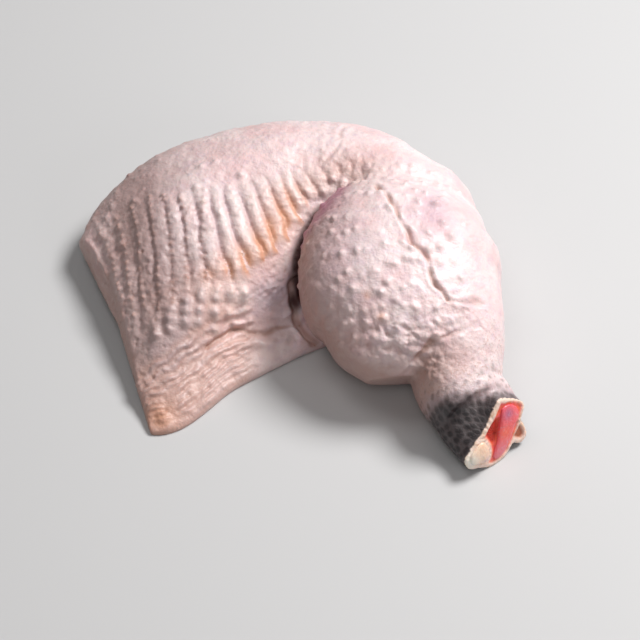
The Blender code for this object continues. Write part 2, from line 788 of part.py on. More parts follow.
def make_leg():
    bodies = make_bodies()
    depsgraph = bpy.context.evaluated_depsgraph_get()
    trees = [BVHTree.FromObject(body, depsgraph) for body in bodies[:2]]
    leg = fuse("leg", bodies, VOXEL, EASING)
    blend_knee(leg, BLEND["iterations"])
    rest_flat(leg, SAG)
    raise_relief(leg, trees)
    thin_out(leg, LEG_TRIANGLES)
    rest_flat(leg, 0.0)
    carve(leg, cut_block())
    carve(leg, bone("bone_socket", GAP))
    carve(leg, cartilage("cartilage_socket", GAP))
    return leg


def main():
    noise.seed_set(NOISE_SEED)
    clear_scene()
    leg = make_leg()
    shin_bone = bone("shin_bone")
    joint_cartilage = cartilage("joint_cartilage")
    paint(leg, (0.80, 0.60, 0.54), 0.45)
    paint(shin_bone, (0.75, 0.18, 0.16), 0.4)
    paint(joint_cartilage, (0.86, 0.78, 0.66), 0.4)
    stand_on_origin([leg, shin_bone, joint_cartilage])


main()
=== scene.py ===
"""The look of the raw chicken leg quarter: its skin in full relief, the cut hock, light and camera.

The skin repeats the named sizes of the solids at a finer grain, and adds the relief that is too
small for them. Sizes are in millimetres in a working frame of their own; the shift that brings
them into the model's frame is measured on the shin bone, which both have.
"""

import math

import bmesh
import bpy
import numpy as np
from mathutils import Matrix, Vector, noise
from mathutils.bvhtree import BVHTree


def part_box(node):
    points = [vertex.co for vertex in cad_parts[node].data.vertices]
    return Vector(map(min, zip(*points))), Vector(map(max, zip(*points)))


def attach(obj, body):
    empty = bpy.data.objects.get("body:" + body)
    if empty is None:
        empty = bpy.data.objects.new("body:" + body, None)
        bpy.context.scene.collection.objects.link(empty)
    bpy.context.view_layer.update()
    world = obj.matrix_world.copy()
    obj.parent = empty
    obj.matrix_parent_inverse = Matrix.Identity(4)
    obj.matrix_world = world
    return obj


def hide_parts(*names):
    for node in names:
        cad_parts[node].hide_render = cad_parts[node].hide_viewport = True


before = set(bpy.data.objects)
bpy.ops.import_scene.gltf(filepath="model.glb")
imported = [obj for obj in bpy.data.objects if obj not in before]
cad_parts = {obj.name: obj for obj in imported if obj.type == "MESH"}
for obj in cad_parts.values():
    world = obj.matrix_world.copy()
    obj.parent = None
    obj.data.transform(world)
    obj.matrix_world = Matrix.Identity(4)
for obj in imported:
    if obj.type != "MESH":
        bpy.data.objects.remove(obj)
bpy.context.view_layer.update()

MM = 0.001

# Fineness of the skin, of the bodies that it is fused from and of the lines on it
VOXEL = 0.58
EASING = 6
SKIN_TRIANGLES = 195000
SECTION_POINTS = 88
OUTLINE_POINTS = 96
LOFT_STEPS = 90
BALL_DIVISIONS = 5
BETWEEN_ROWS = 6
TANGENT_STEP = 0.02
LINE_STEP = 1.5
ABOVE = 200.0
SEED = 7

# The seed of Blender's vector noise, which it takes from the clock otherwise
NOISE_SEED = 1796031724

# Soft edges are given as their start and their length, below 0 where they run towards lower values.

# The thigh's sections, from the cut hip end to the knee: near and far edge in plan, how far they bow in,
# the heights of the lip at the near edge, of the slope's foot and middle, of the crown and of the far
# side, how far across the crown lies from the far edge (0) to the near edge (1), and how hollow it is.
THIGH_NAMES = ("near", "far", "bow", "lip", "foot", "slope", "crown", "side", "across", "hollow")
THIGH_ROWS = (
    ((-52.5, -54.5), (-84.5, 23), 4.5, 3, 5.5, 9, 15, 9, 0.36, 1),
    ((-47, -53.5), (-80.5, 34.5), 4.5, 3.5, 8, 13.5, 21, 10, 0.36, 0.75),
    ((-41, -50), (-72.5, 45.5), 3.5, 3.5, 9.5, 18, 27.5, 13, 0.35, 0),
    ((-34.5, -43), (-60, 57.5), 2.5, 4, 10, 21, 32, 15, 0.34, 0),
    ((-27, -34), (-40.5, 67), 1, 4.5, 9.5, 24, 35.5, 16, 0.32, 0),
    ((-17, -26), (-21, 72.5), 0, 4.5, 8.5, 24.5, 38, 17, 0.32, 0),
    ((-5, -17), (-2, 74), 0, 4.5, 7.5, 23, 39, 18, 0.34, 0),
    ((7, -9), (14, 71), 0, 5, 8, 23, 41, 19, 0.40, 0),
    ((20, 6), (31, 61.5), 0, 8, 14, 34, 43, 20, 0.50, 0),
    ((34, 10), (45, 46), 0, 8, 14, 34, 39, 18, 0.55, 0),
)
# The skin over the hollow, and what brings the bow's curve up to 1 at its peak
SKIN = 3.5
BOW_PEAK = 27 / 4

# The drumstick and the shank: centre line, half width and half height, and how square they are (2: not).
LIMB_NAMES = ("centre", "wide", "high")
CALF_ROWS = (
    ((30, 41, 20), 9, 8),
    ((31, 34, 21), 17.5, 15),
    ((31, 25, 22.5), 25.5, 20.5),
    ((28, 12.5, 24.5), 33, 24.5),
    ((27.5, -2, 24), 34.2, 24.5),
    ((30.5, -16, 21.5), 31.5, 22),
    ((31.5, -27.5, 17), 25, 17),
    ((32.5, -34.5, 13), 15, 9),
)
SHANK_ROWS = (
    ((43, -6, 23), 18.5, 19),
    ((45.5, -20, 19.5), 17.5, 18),
    ((47, -32, 16), 15.5, 15.5),
    ((49, -40, 14.4), 14, 13.8),
    ((53, -46, 13.4), 11.5, 11.5),
)
LIMB_SQUARENESS = 2.3
KNEE = dict(centre=(27, 32.5, 18), size=(27.5, 24.5, 24.5))

# The cut across the hock: its middle, the way that it faces, the long way across it and its outline, the
# long and the short way. HOCK_ROWS run on into the shank: depth behind the cut, how far the outline has
# turned into an ellipse, and that ellipse's shift and half size the long and the short way.
CUT_MIDDLE = (60.8, -54, 12.5)
CUT_FACES = (0.636, -0.707, 0.309)
CUT_LONG = (0.415, 0.651, 0.635)
CUT_OUTLINE = (
    (9.5, -6.4), (11.3, -2.9), (12.4, 1.9), (12.5, 5), (11.4, 7.2), (8, 8.4), (3, 10.2),
    (-3.8, 11), (-7, 10.2), (-9.6, 8.7), (-11.6, 6.6), (-12.8, 3.2), (-14.2, 0.2),
    (-15.2, -2.4), (-14.6, -5.2), (-12.9, -6.9), (-8.5, -6.6), (-2.4, -5.6), (4.3, -5.8),
)
HOCK_ROWS = (
    (17, 1, 4, -3.6, 13.4, 11.6),
    (12, 1, 2.3, -1.8, 14.6, 10.6),
    (8, 1, 1.4, -0.8, 14.8, 9.9),
    (4, 0.6, -0.2, 0.2, 14.4, 9.2),
    (1.5, 0.1, -1.2, 0.8, 13.8, 8.6),
    (0, 0, -1.4, 1, 13.8, 8.6),
)
HOCK_MIDDLE = HOCK_ROWS[-1][2:4]
HOCK_SQUARENESS = 2.5

# The flap on the right of the cut: its outline in the cut, and its depth and share of size behind it.
FLAP_OUTLINE = (
    (7.5, 5), (6.8, 8.8), (5.8, 11.4), (4.4, 13.9), (2.6, 15.1), (0.6, 14.8), (-0.8, 13.2),
    (-1.2, 10.6), (-1.5, 6),
)
FLAP_ROWS = ((6, 0.45), (4, 0.8), (2, 0.95), (0, 1))

# The shin bone: the centre and radius of its shaft from inside the knee; its end's two-lobed outline in
# the cut, and its dome, as depth behind the cut and share of size.
SHAFT_NAMES = ("centre", "radius")
SHAFT_ROWS = (
    ((36, 10, 21), 2.5),
    ((36.6, 7, 21), 4.6),
    ((41, -10, 19), 4),
    ((47, -28, 16), 3.8),
    ((53, -39.5, 13.8), 4.6),
)
BONE_OUTLINE = (
    (4.4, -1), (7.2, -2.2), (9.4, 0.3), (9.4, 4), (7.4, 6.5), (4.2, 7), (1, 7.9),
    (-3.9, 8.6), (-7, 8.2), (-8.8, 6.8), (-8.3, 4.9), (-5.4, 3.9), (-2.3, 2.6), (1, 0.8),
)
BONE_ROWS = ((7.5, 0.7), (4.5, 0.9), (2, 1), (0.2, 1), (-0.2, 0.93), (-0.5, 0.7), (-0.6, 0.35))

# The cartilage at the low corner of the cut: its outline, and its depth and share of size.
CARTILAGE_OUTLINE = (
    (-6.2, -4.2), (-5.4, -2.6), (-6.4, 0.3), (-8.4, 2.5), (-10.4, 2.9), (-11.7, 1.1), (-13.7, -2.2),
    (-13.2, -4.4), (-11.4, -5.5), (-8.6, -5.1),
)
CARTILAGE_ROWS = ((4, 0.6), (3.2, 0.85), (1.5, 1), (-0.2, 0.97), (-0.8, 0.8), (-1.1, 0.45))

# What counts as the cut's surface: how deep under its plane and how far from its middle it reaches.
CUT_FACE = dict(deep=0.9, reach=20)

# Where blood darkens the flesh of the cut.
BLOOD_OUTLINE = (
    (-2.2, -3.6), (1.2, -3.4), (3.6, -1.6), (2.2, 0.4), (-0.8, 1.8), (-4.2, 2.6), (-4.6, -0.2),
)

# The rim of skin and fat round the cut: its width on the left and on the right and where one turns into
# the other, its rise and the width of its inner edge; and the easing of its outer edge.
RIM = dict(left=1.8, right=1, turn=(1.5, -4), rise=0.25, inner=0.9)
RIM_EASING = dict(deep=2.5, edge=(1.92, -1.2), iterations=14)

# The flesh, the blood, the flap's tendon, the edge of the cartilage's cream bed, and soft spots of colour
# in the cut: their long and short place, and their radius.
FLESH = dict(depth=0.25, rough=0.35, wavelength=2.6)
BLOOD = dict(depth=0.7, edge=(-0.42, 1.4))
TENDON = dict(depth=0.8, edge=(1, 1), beside=(9, 1.5), outside=0.5)
CREAM_BED = (-2.1, 1.4)
WHITE_TIP = (-13.6, -4.2, 3.4)
BONE_SPOTS = dict(violet=(6.5, 0.8, 2.2), middle=(0.4, 4.2, 2.6), lower=(-6, 6.4, 4))
CARTILAGE_SPOTS = dict(white=WHITE_TIP, lilac=(-10.9, 3.2, 2.2))

# The hock's scales: how far from the cut they are full at its middle, how much less far for each
# millimetre up the cut, how they fade and end, their size, their rows' turn and how uneven they are.
SCALES = dict(middle=9.5, slope=1, fade=22, reach=45, size=2.5, turned=0.8, uneven=0.45)
HOCK_RADIUS = 11.5

# Where the knee's bodies are blended, how far the underside sags flat, the height under which a point
# belongs to it, and where the relief fades out above it: by the skin's upward turn and by height.
BLEND = dict(centre=(34, 38, 38), size=(32, 24, 26), edge=(1, -0.5), iterations=400)
SAG = 0.8
FLAT = 0.2
RELIEF_TURN = (-0.3, 0.4)
RELIEF_HEIGHT = (0.5, 3)

# The follicle ridges down the near slope of the thigh: in plan from top to foot, their height and
# how beaded they are. The first ones fan out round the knee.
RIDGES = (
    (((17, 42), (18, 36), (19, 30)), 0.25, 0.5),
    (((12, 43), (14, 37), (15, 31)), 0.4, 0.5),
    (((8, 44), (10, 38), (12, 32)), 0.45, 0.5),
    (((3, 44), (6, 39), (9, 32)), 0.5, 0.4),
    (((-2, 42), (2, 37), (5, 31)), 0.7, 0.4),
    (((-6, 40), (-2, 34), (2, 28)), 0.9, 0.3),
    (((-11, 38), (-7, 32), (-3, 26)), 1.1, 0.2),
    (((-15, 37), (-10, 29), (-6, 22)), 1.2, 0.2),
    (((-19, 36), (-14, 27), (-9, 16)), 1.3, 0.2),
    (((-24, 34), (-18, 22), (-13, 10)), 1.3, 0.2),
    (((-28, 33), (-22, 18), (-16, 5)), 1.3, 0.2),
    (((-33, 32), (-27, 14), (-20, 1)), 1.3, 0.2),
    (((-38, 31), (-32.5, 12), (-26, -4)), 1.3, 0.2),
    (((-43.5, 31), (-38, 10), (-33, -6)), 1.2, 0.3),
    (((-48.5, 30), (-43.5, 9), (-40, -8)), 1, 0.3),
    (((-53.5, 29), (-48.5, 8), (-46, -12)), 0.95, 0.4),
    (((-58.5, 29), (-54, 8), (-50.5, -17)), 0.8, 0.4),
    (((-64, 27), (-59.5, 6), (-56, -24)), 0.5, 0.4),
    (((-70, 24), (-65.5, 6), (-60.5, -26)), 0.4, 0.4),
    (((-76, 22), (-71, 8), (-65.5, -14)), 0.35, 0.4),
)

# The rows of follicles towards the hip end and the strings of round beads at the slope's foot, in plan.
FOLLICLE_ROWS = (
    ((-41, 28), (-40.5, 8), (-37, -7)),
    ((-49, 26), (-46, 12), (-44, -9)),
    ((-55, 27), (-52, 15), (-50, 2), (-48, -16)),
    ((-60, 29), (-57, 12), (-55, 3), (-53, -16)),
    ((-66, 26), (-62, 12), (-61, 2), (-58, -14)),
    ((-71, 24), (-67, 12), (-65, 2), (-61, -16)),
    ((-76, 20), (-71.5, 10), (-68, -2), (-64, -12)),
)
BEAD_STRINGS = (
    ((-39, -9), (-39.5, -14), (-39.5, -20)),
    ((-34, -8), (-34.5, -13), (-34, -18)),
    ((-29.5, -7), (-30, -13)),
    ((-44, -13), (-44, -22)),
    ((-49, -16), (-49, -24)),
    ((-54, -18), (-53, -25)),
    ((-25, -6), (-25, -10)),
)
FOLLICLE_BEADS = dict(spacing=2.9, radius=0.85, height=0.75, uneven=(0.4, 1.2))
ROUND_BEADS = dict(spacing=3.5, radius=1.6, height=1.7, uneven=(0.4, 1.2))
BEAD_STRAY = 0.25

# The ridges' pitch, their rise at the top and end at the foot, how far off their crests they are felt and
# how wide their colour is, both in pitches, and how blunt they are. The beads along them: their length,
# their share of height and width, how uneven and slanted they are, and how they stray and shift.
RIDGE = dict(pitch=5.8, rise=9, foot=(-0.5, 5), reach=1.6, beside=0.55, blunt=2.4)
BEADS = dict(length=4, height=0.3, width=0.2, uneven=0.6, slant=0.45, stray=1.1, shift=0.37)
STRAY_NOISE = dict(wavelength=6.8, apart=7.3, level=0.5)

# How lines on the skin wander, by a smooth noise.
RIDGE_WANDER = dict(wavelength=7, reach=1.2, start=(0, 0, 0))
LINE_WANDER = dict(wavelength=6, reach=1.5, start=(9, 2, 5))

# The fine ripples along the ledge, from the near corner of the hip end: how far their colour spreads, how
# uneven they are, and how they give way to the ridges.
LEDGE_RIPPLES = dict(first=0.79, last=0.985, count=9, start=0.015, end=0.52, width=0.95, height=1)
RIPPLE_CORNERS = 7
RIPPLE_SPREAD = 2.5
RIPPLE_UNEVEN = dict(middle=0.75, reach=0.9, wavelength=8, least=0.2, most=1.2)
RIPPLE_YIELD = 0.8

# Folds, as lines in plan or in space, height and width: the bag where the slope meets the ledge, the fan
# at the near corner, the wrinkles of the hip end's rim and the folds in the crevice.
FOLDS = (
    (((-35, -26), (-29, -20), (-22, -17), (-14, -15), (-8, -11)), 1.3, 2),
    (((-12, -16), (-6, -14), (-1, -14)), 0.7, 1.2),
    (((-50, -50), (-46, -42), (-43, -34)), 0.6, 1),
    (((-49, -51), (-43, -43), (-37, -36)), 0.6, 1),
    (((-48, -52), (-41, -46), (-34, -40)), 0.6, 1),
    (((-82, 22), (-77, 14), (-72, 2)), 0.7, 1),
    (((-79, 26), (-73, 16), (-69, 6)), 0.5, 1),
    (((-13, -6, 8), (-8, -4, 8), (-4, -8, 8), (0, -13, 8)), 1.3, 1.1),
    (((-15, -11, 6), (-9, -9, 6), (-4, -12, 5), (1, -16, 5)), 1.3, 1.1),
)

# Creases, as lines in plan or in space, depth and width: the one down the drumstick, its branch, two on
# the shank, the knee's, the slope's foot and the crevice's.
CREASES = (
    (((17, 23), (21, 15), (25, 6), (29, -3), (33, -8), (36, -13), (39, -19), (43, -23)), 1.3, 0.85),
    (((42, -22), (49, -21), (56, -19)), 0.5, 0.7),
    (((32.5, -42), (33, -39.5), (34, -37), (36, -35), (39, -33.5)), 1.5, 1),
    (((38, -33), (42, -32), (47, -30)), 0.6, 0.8),
    (((6, 60), (4, 52), (3, 45), (-2, 38)), 0.35, 0.8),
    (((-37, -25), (-33, -19), (-26, -14.5), (-17, -12.5), (-10, -8)), 1.2, 0.9),
    (((-9, 4, 18), (-8, 0, 13), (-7, -4, 9), (-5, -8, 7), (-1, -13, 5), (3, -18, 5)), 2.2, 1.5),
)

# How far a line is felt and over what length its ends fade, in its widths, and the lip beside a crease.
LINE_REACH = 4
LINE_END = (-0.5, 2)
CREASE_LIP = dict(height=0.15, beside=2.2)

# The fold between thigh and drumstick, how far back and right it runs, and the purple edge beside it. The
# fold's mask also lays painted shade in the crevice.
JOIN = dict(depth=3.2, width=2, back=(30, -8), right=15)
PURPLE_EDGE = dict(strength=3, reach=11, side=(0, 1.5), front=(4, 10), right=(10, -8))

# The goose pimples and pits, and between which shares of the thigh's width they lie, from its far edge.
CALF_PIMPLES = dict(spacing=4.2, radius=1.25, height=1.05, uneven=(0.2, 1.2))
THIGH_PIMPLES = dict(spacing=4, radius=0.95, height=0.32, uneven=(0.2, 1.2), across=(0.03, 0.5))
LEDGE_DIMPLES = dict(spacing=4.8, radius=0.9, height=-0.35, uneven=(0.2, 1.4), across=(0.8, 0.97))
FOLLICLES = dict(spacing=4.4, radius=0.7, height=-0.35, uneven=(0.2, 1.4), across=(0.45, 0.8))
KNOBS = dict(spacing=4, radius=1, height=0.4, uneven=(0, 1.3), across=(0.42, 0.86))
KNOBS_NEAR = ((-58, 0, 16), (24, 32, 22))
PORE = dict(place=(-60, 6, 23), ring=1.5, radius=0.7, height=0.5, depth=1.3)
BUMP_REACH = 2.5

# The rows that they lie in: the length filled, its start and span as shares of the body's length, how far
# each place strays, and round the drumstick the angles between which they run and thin out.
CALF_GRID = dict(length=62, first=0.16, span=0.74, stray=0.45, low=-0.2, high=2.4, thin=(1.7, 2.5))
THIGH_GRID = dict(length=112, first=0.04, span=0.74, across=0.4, along=0.3)

# The loose crumpling of the skin: where it is, its size, its wavelength and its height.
CRUMPLES = (
    ((0, 0, 20), (400, 400, 400), 7, 0.35),
    ((8, 41, 38), (17, 7, 16), 3, 0.32),
    ((27, -33, 28), (14, 7, 12), 4.2, 1.9),
    ((38, -39, 27), (7, 6, 8), 2.6, 0.9),
    ((-16, -3, 17), (7, 6, 8), 1.8, 0.22),
    ((42, -27, 32), (12, 8, 12), 3.4, 0.8),
    ((-10, -4, 18), (9, 8, 8), 3.2, 0.6),
)

# The crumpling's fractal increment, lacunarity and octaves
FRACTAL = (0.9, 2, 3)

# Soft regions of colour on the skin: for each a few blobs, as strength, centre and size.
REGIONS = dict(
    ends=(
        (1.2, (-11, 18, 29), (9, 14, 14)),
        (1, (-18, 8, 26), (6, 8, 10)),
        (0.9, (-26, 1, 24), (7, 8, 9)),
        (0.8, (-34, -6, 21), (7, 7, 8)),
    ),
    band=((1, (5, 36, 40), (17, 9, 14)),),
    beads=((0.3, (-36, -14, 19), (14, 10, 10)),),
    marks=(
        (0.6, (-50, -50, 4), (5, 5, 5)),
        (0.6, (16, -23, 40), (1.3, 1.3, 1.5)),
        (0.6, (21, -29, 37), (1.2, 1.4, 1.5)),
    ),
    purple=((0.4, (38, 8, 48), (7, 9, 9)),),
    # Lavender: partly the skin's own tone, and on the drumstick's left flank painted shade.
    lavender=(
        (0.8, (-12, -4, 16), (10, 10, 8)),
        (0.5, (36, 12, 48), (7, 10, 9)),
        (0.8, (4, -6, 30), (14, 20, 20)),
    ),
    # Painted shade: the bag under the drumstick, the tip of the ledge and the shank.
    low=(
        (0.9, (16, -38, 14), (14, 7, 8)),
        (0.6, (-52, -48, 4), (9, 9, 6)),
        (0.5, (43, -39, 26), (12, 9, 11)),
    ),
    # Painted shade in the pocket where the crevice ends.
    join=((0.8, (-7, -2, 11), (3, 4, 5)),),
)

# What the regions are combined with. The shares are a part everywhere and a part in the valleys, that part
# painted shade. The band of painted shade at the hip end runs slanted through a place in plan, and painted
# shade darkens the skin where it turns down and left.
ENDS_SHARE = (0.28, 0.85)
BAND_SHARE = (0.15, 0.3)
TROUGH_SHADE = 0.35
SHADE_SHARE = dict(pits=0.8, loose=0.5, follicles=0.9)
# Painted shade on the hip end's flank.
HIP_SHADE_BAND = dict(place=(-57, 8), slant=0.3, width=17, top=(35, -8), share=(0.85, 0.15))
TURNED_DOWN_SHADE = dict(level=0.5, way=(0.7, 0, 0.5))
# Painted shade on the ledge, darker the lower it lies.
LEDGE_SHADE_AREA = dict(top=(13, -6), back=10, right=(-8, -14))
CREST_FULL = 1.5
PIMPLE_FULL = 0.8

# Camera: its height over the level, its roll, how far it stands, the millimetres at the working frame's
# origin in one pixel of a square picture, and how far right of and above that origin it aims.
CAMERA_ELEVATION = math.radians(48.7)
CAMERA_ROLL = math.radians(3.2)
CAMERA_DISTANCE = 850.0
PIXEL = 0.345
PICTURE = 640
SENSOR = 36.0
AIM_RIGHT = 3.3 * PIXEL
AIM_UP = 0.8 * PIXEL
CAMERA_NEAR = 0.01

# The lamps, in metres: place, size, power and colour; where they point, the light of the surroundings
# and the floor.
LIGHTS = dict(
    key=((0.48, 0.30, 0.83), 0.42, 11.2, (1, 0.99, 0.98)),
    top=((-0.32, 0.12, 0.94), 0.40, 1, (1, 0.98, 0.97)),
    near=((-0.06, -0.60, 0.80), 0.40, 1.2, (1, 0.98, 0.97)),
    front=((0.75, -0.55, 0.50), 0.40, 1.1, (1, 0.97, 0.96)),
)
LIGHT_TARGET = (0, 0, 0.02)
WORLD = dict(colour=(1, 0.985, 0.98, 1), strength=0.12)
FLOOR = dict(size=1.5, colour=(0.56, 0.56, 0.565), roughness=0.6)


def spline(values, position):
    """The value at a position (0 to 1) on a smooth curve through evenly spaced values."""
    values = np.asarray(values, float)
    spot = position * (len(values) - 1)
    first = min(int(spot), len(values) - 2)
    t = spot - first
    a, b = values[first], values[first + 1]
    before = values[first - 1] if first else 2 * a - b
    after = values[first + 2] if first + 2 < len(values) else 2 * b - a
    return 0.5 * (
        2 * a
        + (b - before) * t
        + (2 * before - 5 * a + 4 * b - after) * t**2
        + (3 * a - before - 3 * b + after) * t**3
    )


def fade(values, start, length):
    """0 up to the start and 1 from a length on; a length below 0 runs the other way."""
    return np.clip((values - start) / length, 0.0, 1.0)


def station(names, rows, position):
    """The named values at a position (0 to 1) along a row of stations."""
    return {name: spline([row[i] for row in rows], position) for i, name in enumerate(names)}


def new_object(name, mesh):
    """An object made from a bmesh, which it frees."""
    data = bpy.data.meshes.new(name)
    mesh.to_mesh(data)
    mesh.free()
    obj = bpy.data.objects.new(name, data)
    bpy.context.scene.collection.objects.link(obj)
    return obj


def loft(name, rings):
    """A closed body through rings of equally many points, with a fan at each end."""
    mesh = bmesh.new()
    loops = [[mesh.verts.new(Vector(point) * MM) for point in ring] for ring in rings]
    count = len(loops[0])
    for one, other in zip(loops, loops[1:]):
        for i in range(count):
            j = (i + 1) % count
            mesh.faces.new((one[i], one[j], other[j], other[i]))
    for ring in (loops[0], loops[-1]):
        centre = mesh.verts.new(sum((v.co for v in ring), Vector()) / count)
        for i in range(count):
            mesh.faces.new((ring[i], ring[(i + 1) % count], centre))
    bmesh.ops.recalc_face_normals(mesh, faces=mesh.faces)
    return new_object(name, mesh)


def closed_curve(points, count):
    """Evenly many points on a smooth closed curve through the given ones."""
    points = np.asarray(points, float)
    n = len(points)
    found = []
    for k in range(count):
        spot = k * n / count
        i = int(spot)
        around = np.array([points[(i + j) % n] for j in (-1, 0, 1, 2)])
        found.append(spline(around, (1 + spot - i) / 3))
    return found


def thigh_section(position):
    """The closed outline across the thigh, from the bottom of the far side over the crown to the lip."""
    at = station(THIGH_NAMES, THIGH_ROWS, position)
    near = Vector((*at["near"], 0.0))
    far = Vector((*at["far"], 0.0))
    lip, foot, slope, crown, side = (at[name] for name in ("lip", "foot", "slope", "crown", "side"))
    hollow = min(max(at["hollow"], 0.0), 1.0)
    width = (near - far).length
    inward = (near - far).cross(Vector((0, 0, -1))).normalized()
    round_off = 0.45 * side / width
    top = (
        (0.0, side * 0.85),
        (round_off * 0.8, side + 0.62 * (crown - side)),
        (at["across"] * 0.62, crown * 0.975),
        (at["across"], crown),
        (0.5 * (at["across"] + 0.72), 0.55 * crown + 0.45 * slope),
        (0.72, slope),
        (0.84, foot),
        (0.975, lip),
        (1.0, 0.5 * lip),
    )
    under = (
        (0.98, 0.0),
        (0.85, hollow * (foot - SKIN)),
        (0.5, hollow * (0.5 * (crown + slope) - SKIN)),
        (0.25, hollow * (crown - SKIN)),
        (0.10, hollow * (crown - 2 * SKIN)),
        (round_off * 0.4, side * (0.25 + 0.45 * hollow)),
    )
    ring = []
    for share, height in closed_curve(top + under, SECTION_POINTS):
        bowed = at["bow"] * BOW_PEAK * max(share, 0.0) * (1 - min(share, 1.0)) ** 2
        ring.append(far + (near - far) * share + inward * bowed + Vector((0, 0, max(height, 0.0))))
    return ring


def superellipse(angle, squareness):
    """A point on a rounded square of half size 1, an ellipse where the squareness is 2."""
    c, s = math.cos(angle), math.sin(angle)
    size = (abs(c) ** squareness + abs(s) ** squareness) ** (-1 / squareness)
    return size * c, size * s


def limb_frame(rows, position):
    """The centre, the way to the left and the way up of a limb at a position along it."""
    spots = (position, min(position + TANGENT_STEP, 1.0), max(position - TANGENT_STEP, 0.0))
    centre, ahead, behind = (Vector(station(LIMB_NAMES, rows, p)["centre"]) for p in spots)
    way = (ahead - behind).normalized()
    across = way.cross(Vector((0, 0, 1))).normalized()
    return centre, across, across.cross(way)


def limb_section(rows, position):
    """The rounded outline across a limb."""
    centre, across, up = limb_frame(rows, position)
    at = station(LIMB_NAMES, rows, position)
    ring = []
    for k in range(SECTION_POINTS):
        c, s = superellipse(2 * math.pi * k / SECTION_POINTS, LIMB_SQUARENESS)
        ring.append(centre + across * (at["wide"] * c) + up * (at["high"] * s))
    return ring


def ball(name, centre, size):
    """A closed ellipsoid."""
    mesh = bmesh.new()
    bmesh.ops.create_icosphere(mesh, subdivisions=BALL_DIVISIONS, radius=1.0)
    for vertex in mesh.verts:
        point = Vector([c * s for c, s in zip(vertex.co, size)])
        vertex.co = (Vector(centre) + point) * MM
    return new_object(name, mesh)


def cut_frame():
    """The cut's long way, short way and the way that it faces, as the columns of a matrix."""
    out = Vector(CUT_FACES).normalized()
    long = Vector(CUT_LONG)
    long = (long - out * long.dot(out)).normalized()
    return Matrix((long, long.cross(out), out)).transposed()


def in_cut(long, short, out):
    """A point given by its place in the cut and its height over it."""
    return Vector(CUT_MIDDLE) + cut_frame() @ Vector((long, short, out))


def hock_rings():
    """Rings from inside the shank to the outline of the cut."""
    outline = closed_curve(CUT_OUTLINE, SECTION_POINTS)
    rings = []
    for depth, round_off, long, short, half_long, half_short in HOCK_ROWS:
        ring = []
        for place in outline:
            way = place - HOCK_MIDDLE
            angle = math.atan2(way[1] / half_short, way[0] / half_long)
            c, s = superellipse(angle, HOCK_SQUARENESS)
            ellipse = np.array((long + half_long * c, short + half_short * s))
            ring.append(in_cut(*(place + (ellipse - place) * round_off), -depth))
        rings.append(ring)
    return rings


def scaled_rings(outline, rows):
    """Rings parallel to the cut: an outline at depths and shares of its size."""
    curve = np.array(closed_curve(outline, SECTION_POINTS))
    middle = curve.mean(axis=0)
    return [
        [in_cut(*(middle + (place - middle) * share), -depth) for place in curve]
        for depth, share in rows
    ]


def make_bodies():
    """The bodies that the skin is fused from, the thigh and the drumstick first."""
    steps = [i / LOFT_STEPS for i in range(LOFT_STEPS + 1)]
    return [
        loft("thigh", [thigh_section(p) for p in steps]),
        loft("calf", [limb_section(CALF_ROWS, p) for p in steps]),
        loft("shank", [limb_section(SHANK_ROWS, p) for p in steps]),
        loft("hock", hock_rings()),
        ball("knee", KNEE["centre"], KNEE["size"]),
        loft("flap", scaled_rings(FLAP_OUTLINE, FLAP_ROWS)),
    ]


def points_of(mesh):
    """The mesh's points, in millimetres."""
    points = np.empty(len(mesh.vertices) * 3)
    mesh.vertices.foreach_get("co", points)
    return points.reshape(-1, 3) / MM


def move_points(mesh, points):
    mesh.vertices.foreach_set("co", (points * MM).ravel())
    mesh.update()


def normals_of(mesh):
    normals = np.empty(len(mesh.vertices) * 3)
    mesh.vertex_normals.foreach_get("vector", normals)
    return normals.reshape(-1, 3)


def bake(obj):
    """Applies the object's modifiers."""
    evaluated = obj.evaluated_get(bpy.context.evaluated_depsgraph_get())
    mesh = bpy.data.meshes.new_from_object(evaluated)
    obj.modifiers.clear()
    obj.data = mesh


def fuse(name, bodies):
    """One closed mesh of the bodies, with its creases eased."""
    whole = bmesh.new()
    for body in bodies:
        whole.from_mesh(body.data)
        bpy.data.objects.remove(body)
    obj = new_object(name, whole)
    remesh = obj.modifiers.new("fuse", "REMESH")
    remesh.mode = "VOXEL"
    remesh.voxel_size = VOXEL * MM
    smooth = obj.modifiers.new("ease", "SMOOTH")
    smooth.factor = 0.5
    smooth.iterations = EASING
    bake(obj)
    return obj


def smooth_part(obj, name, weights, iterations):
    """Smooths the part of a body where the weights are more than 0."""
    group = obj.vertex_groups.new(name=name)
    for index in np.nonzero(weights)[0]:
        group.add([int(index)], float(weights[index]), "REPLACE")
    smooth = obj.modifiers.new("smooth", "SMOOTH")
    smooth.factor = 0.5
    smooth.iterations = iterations
    smooth.vertex_group = name
    bake(obj)
    obj.vertex_groups.clear()


def blend_knee(obj):
    """Smooths the knee's bodies into one dome."""
    reach = np.linalg.norm((points_of(obj.data) - BLEND["centre"]) / BLEND["size"], axis=1)
    smooth_part(obj, "knee", fade(reach, *BLEND["edge"]), BLEND["iterations"])


def ease_rim(obj):
    """Takes the steps of the remesh off the edge of the cut."""
    place = cut_place(points_of(obj.data))
    near = near_cut(place, RIM_EASING["deep"])
    weights = np.zeros(len(place))
    weights[near] = fade(np.abs(depth_inside(CUT_OUTLINE, place[near, :2])), *RIM_EASING["edge"])
    smooth_part(obj, "rim", weights, RIM_EASING["iterations"])


def rest_flat(obj, sag):
    """Flattens the soft underside where it lies."""
    points = points_of(obj.data)
    points[:, 2] -= sag
    points[points[:, 2] < FLAT, 2] = 0.0
    move_points(obj.data, points)


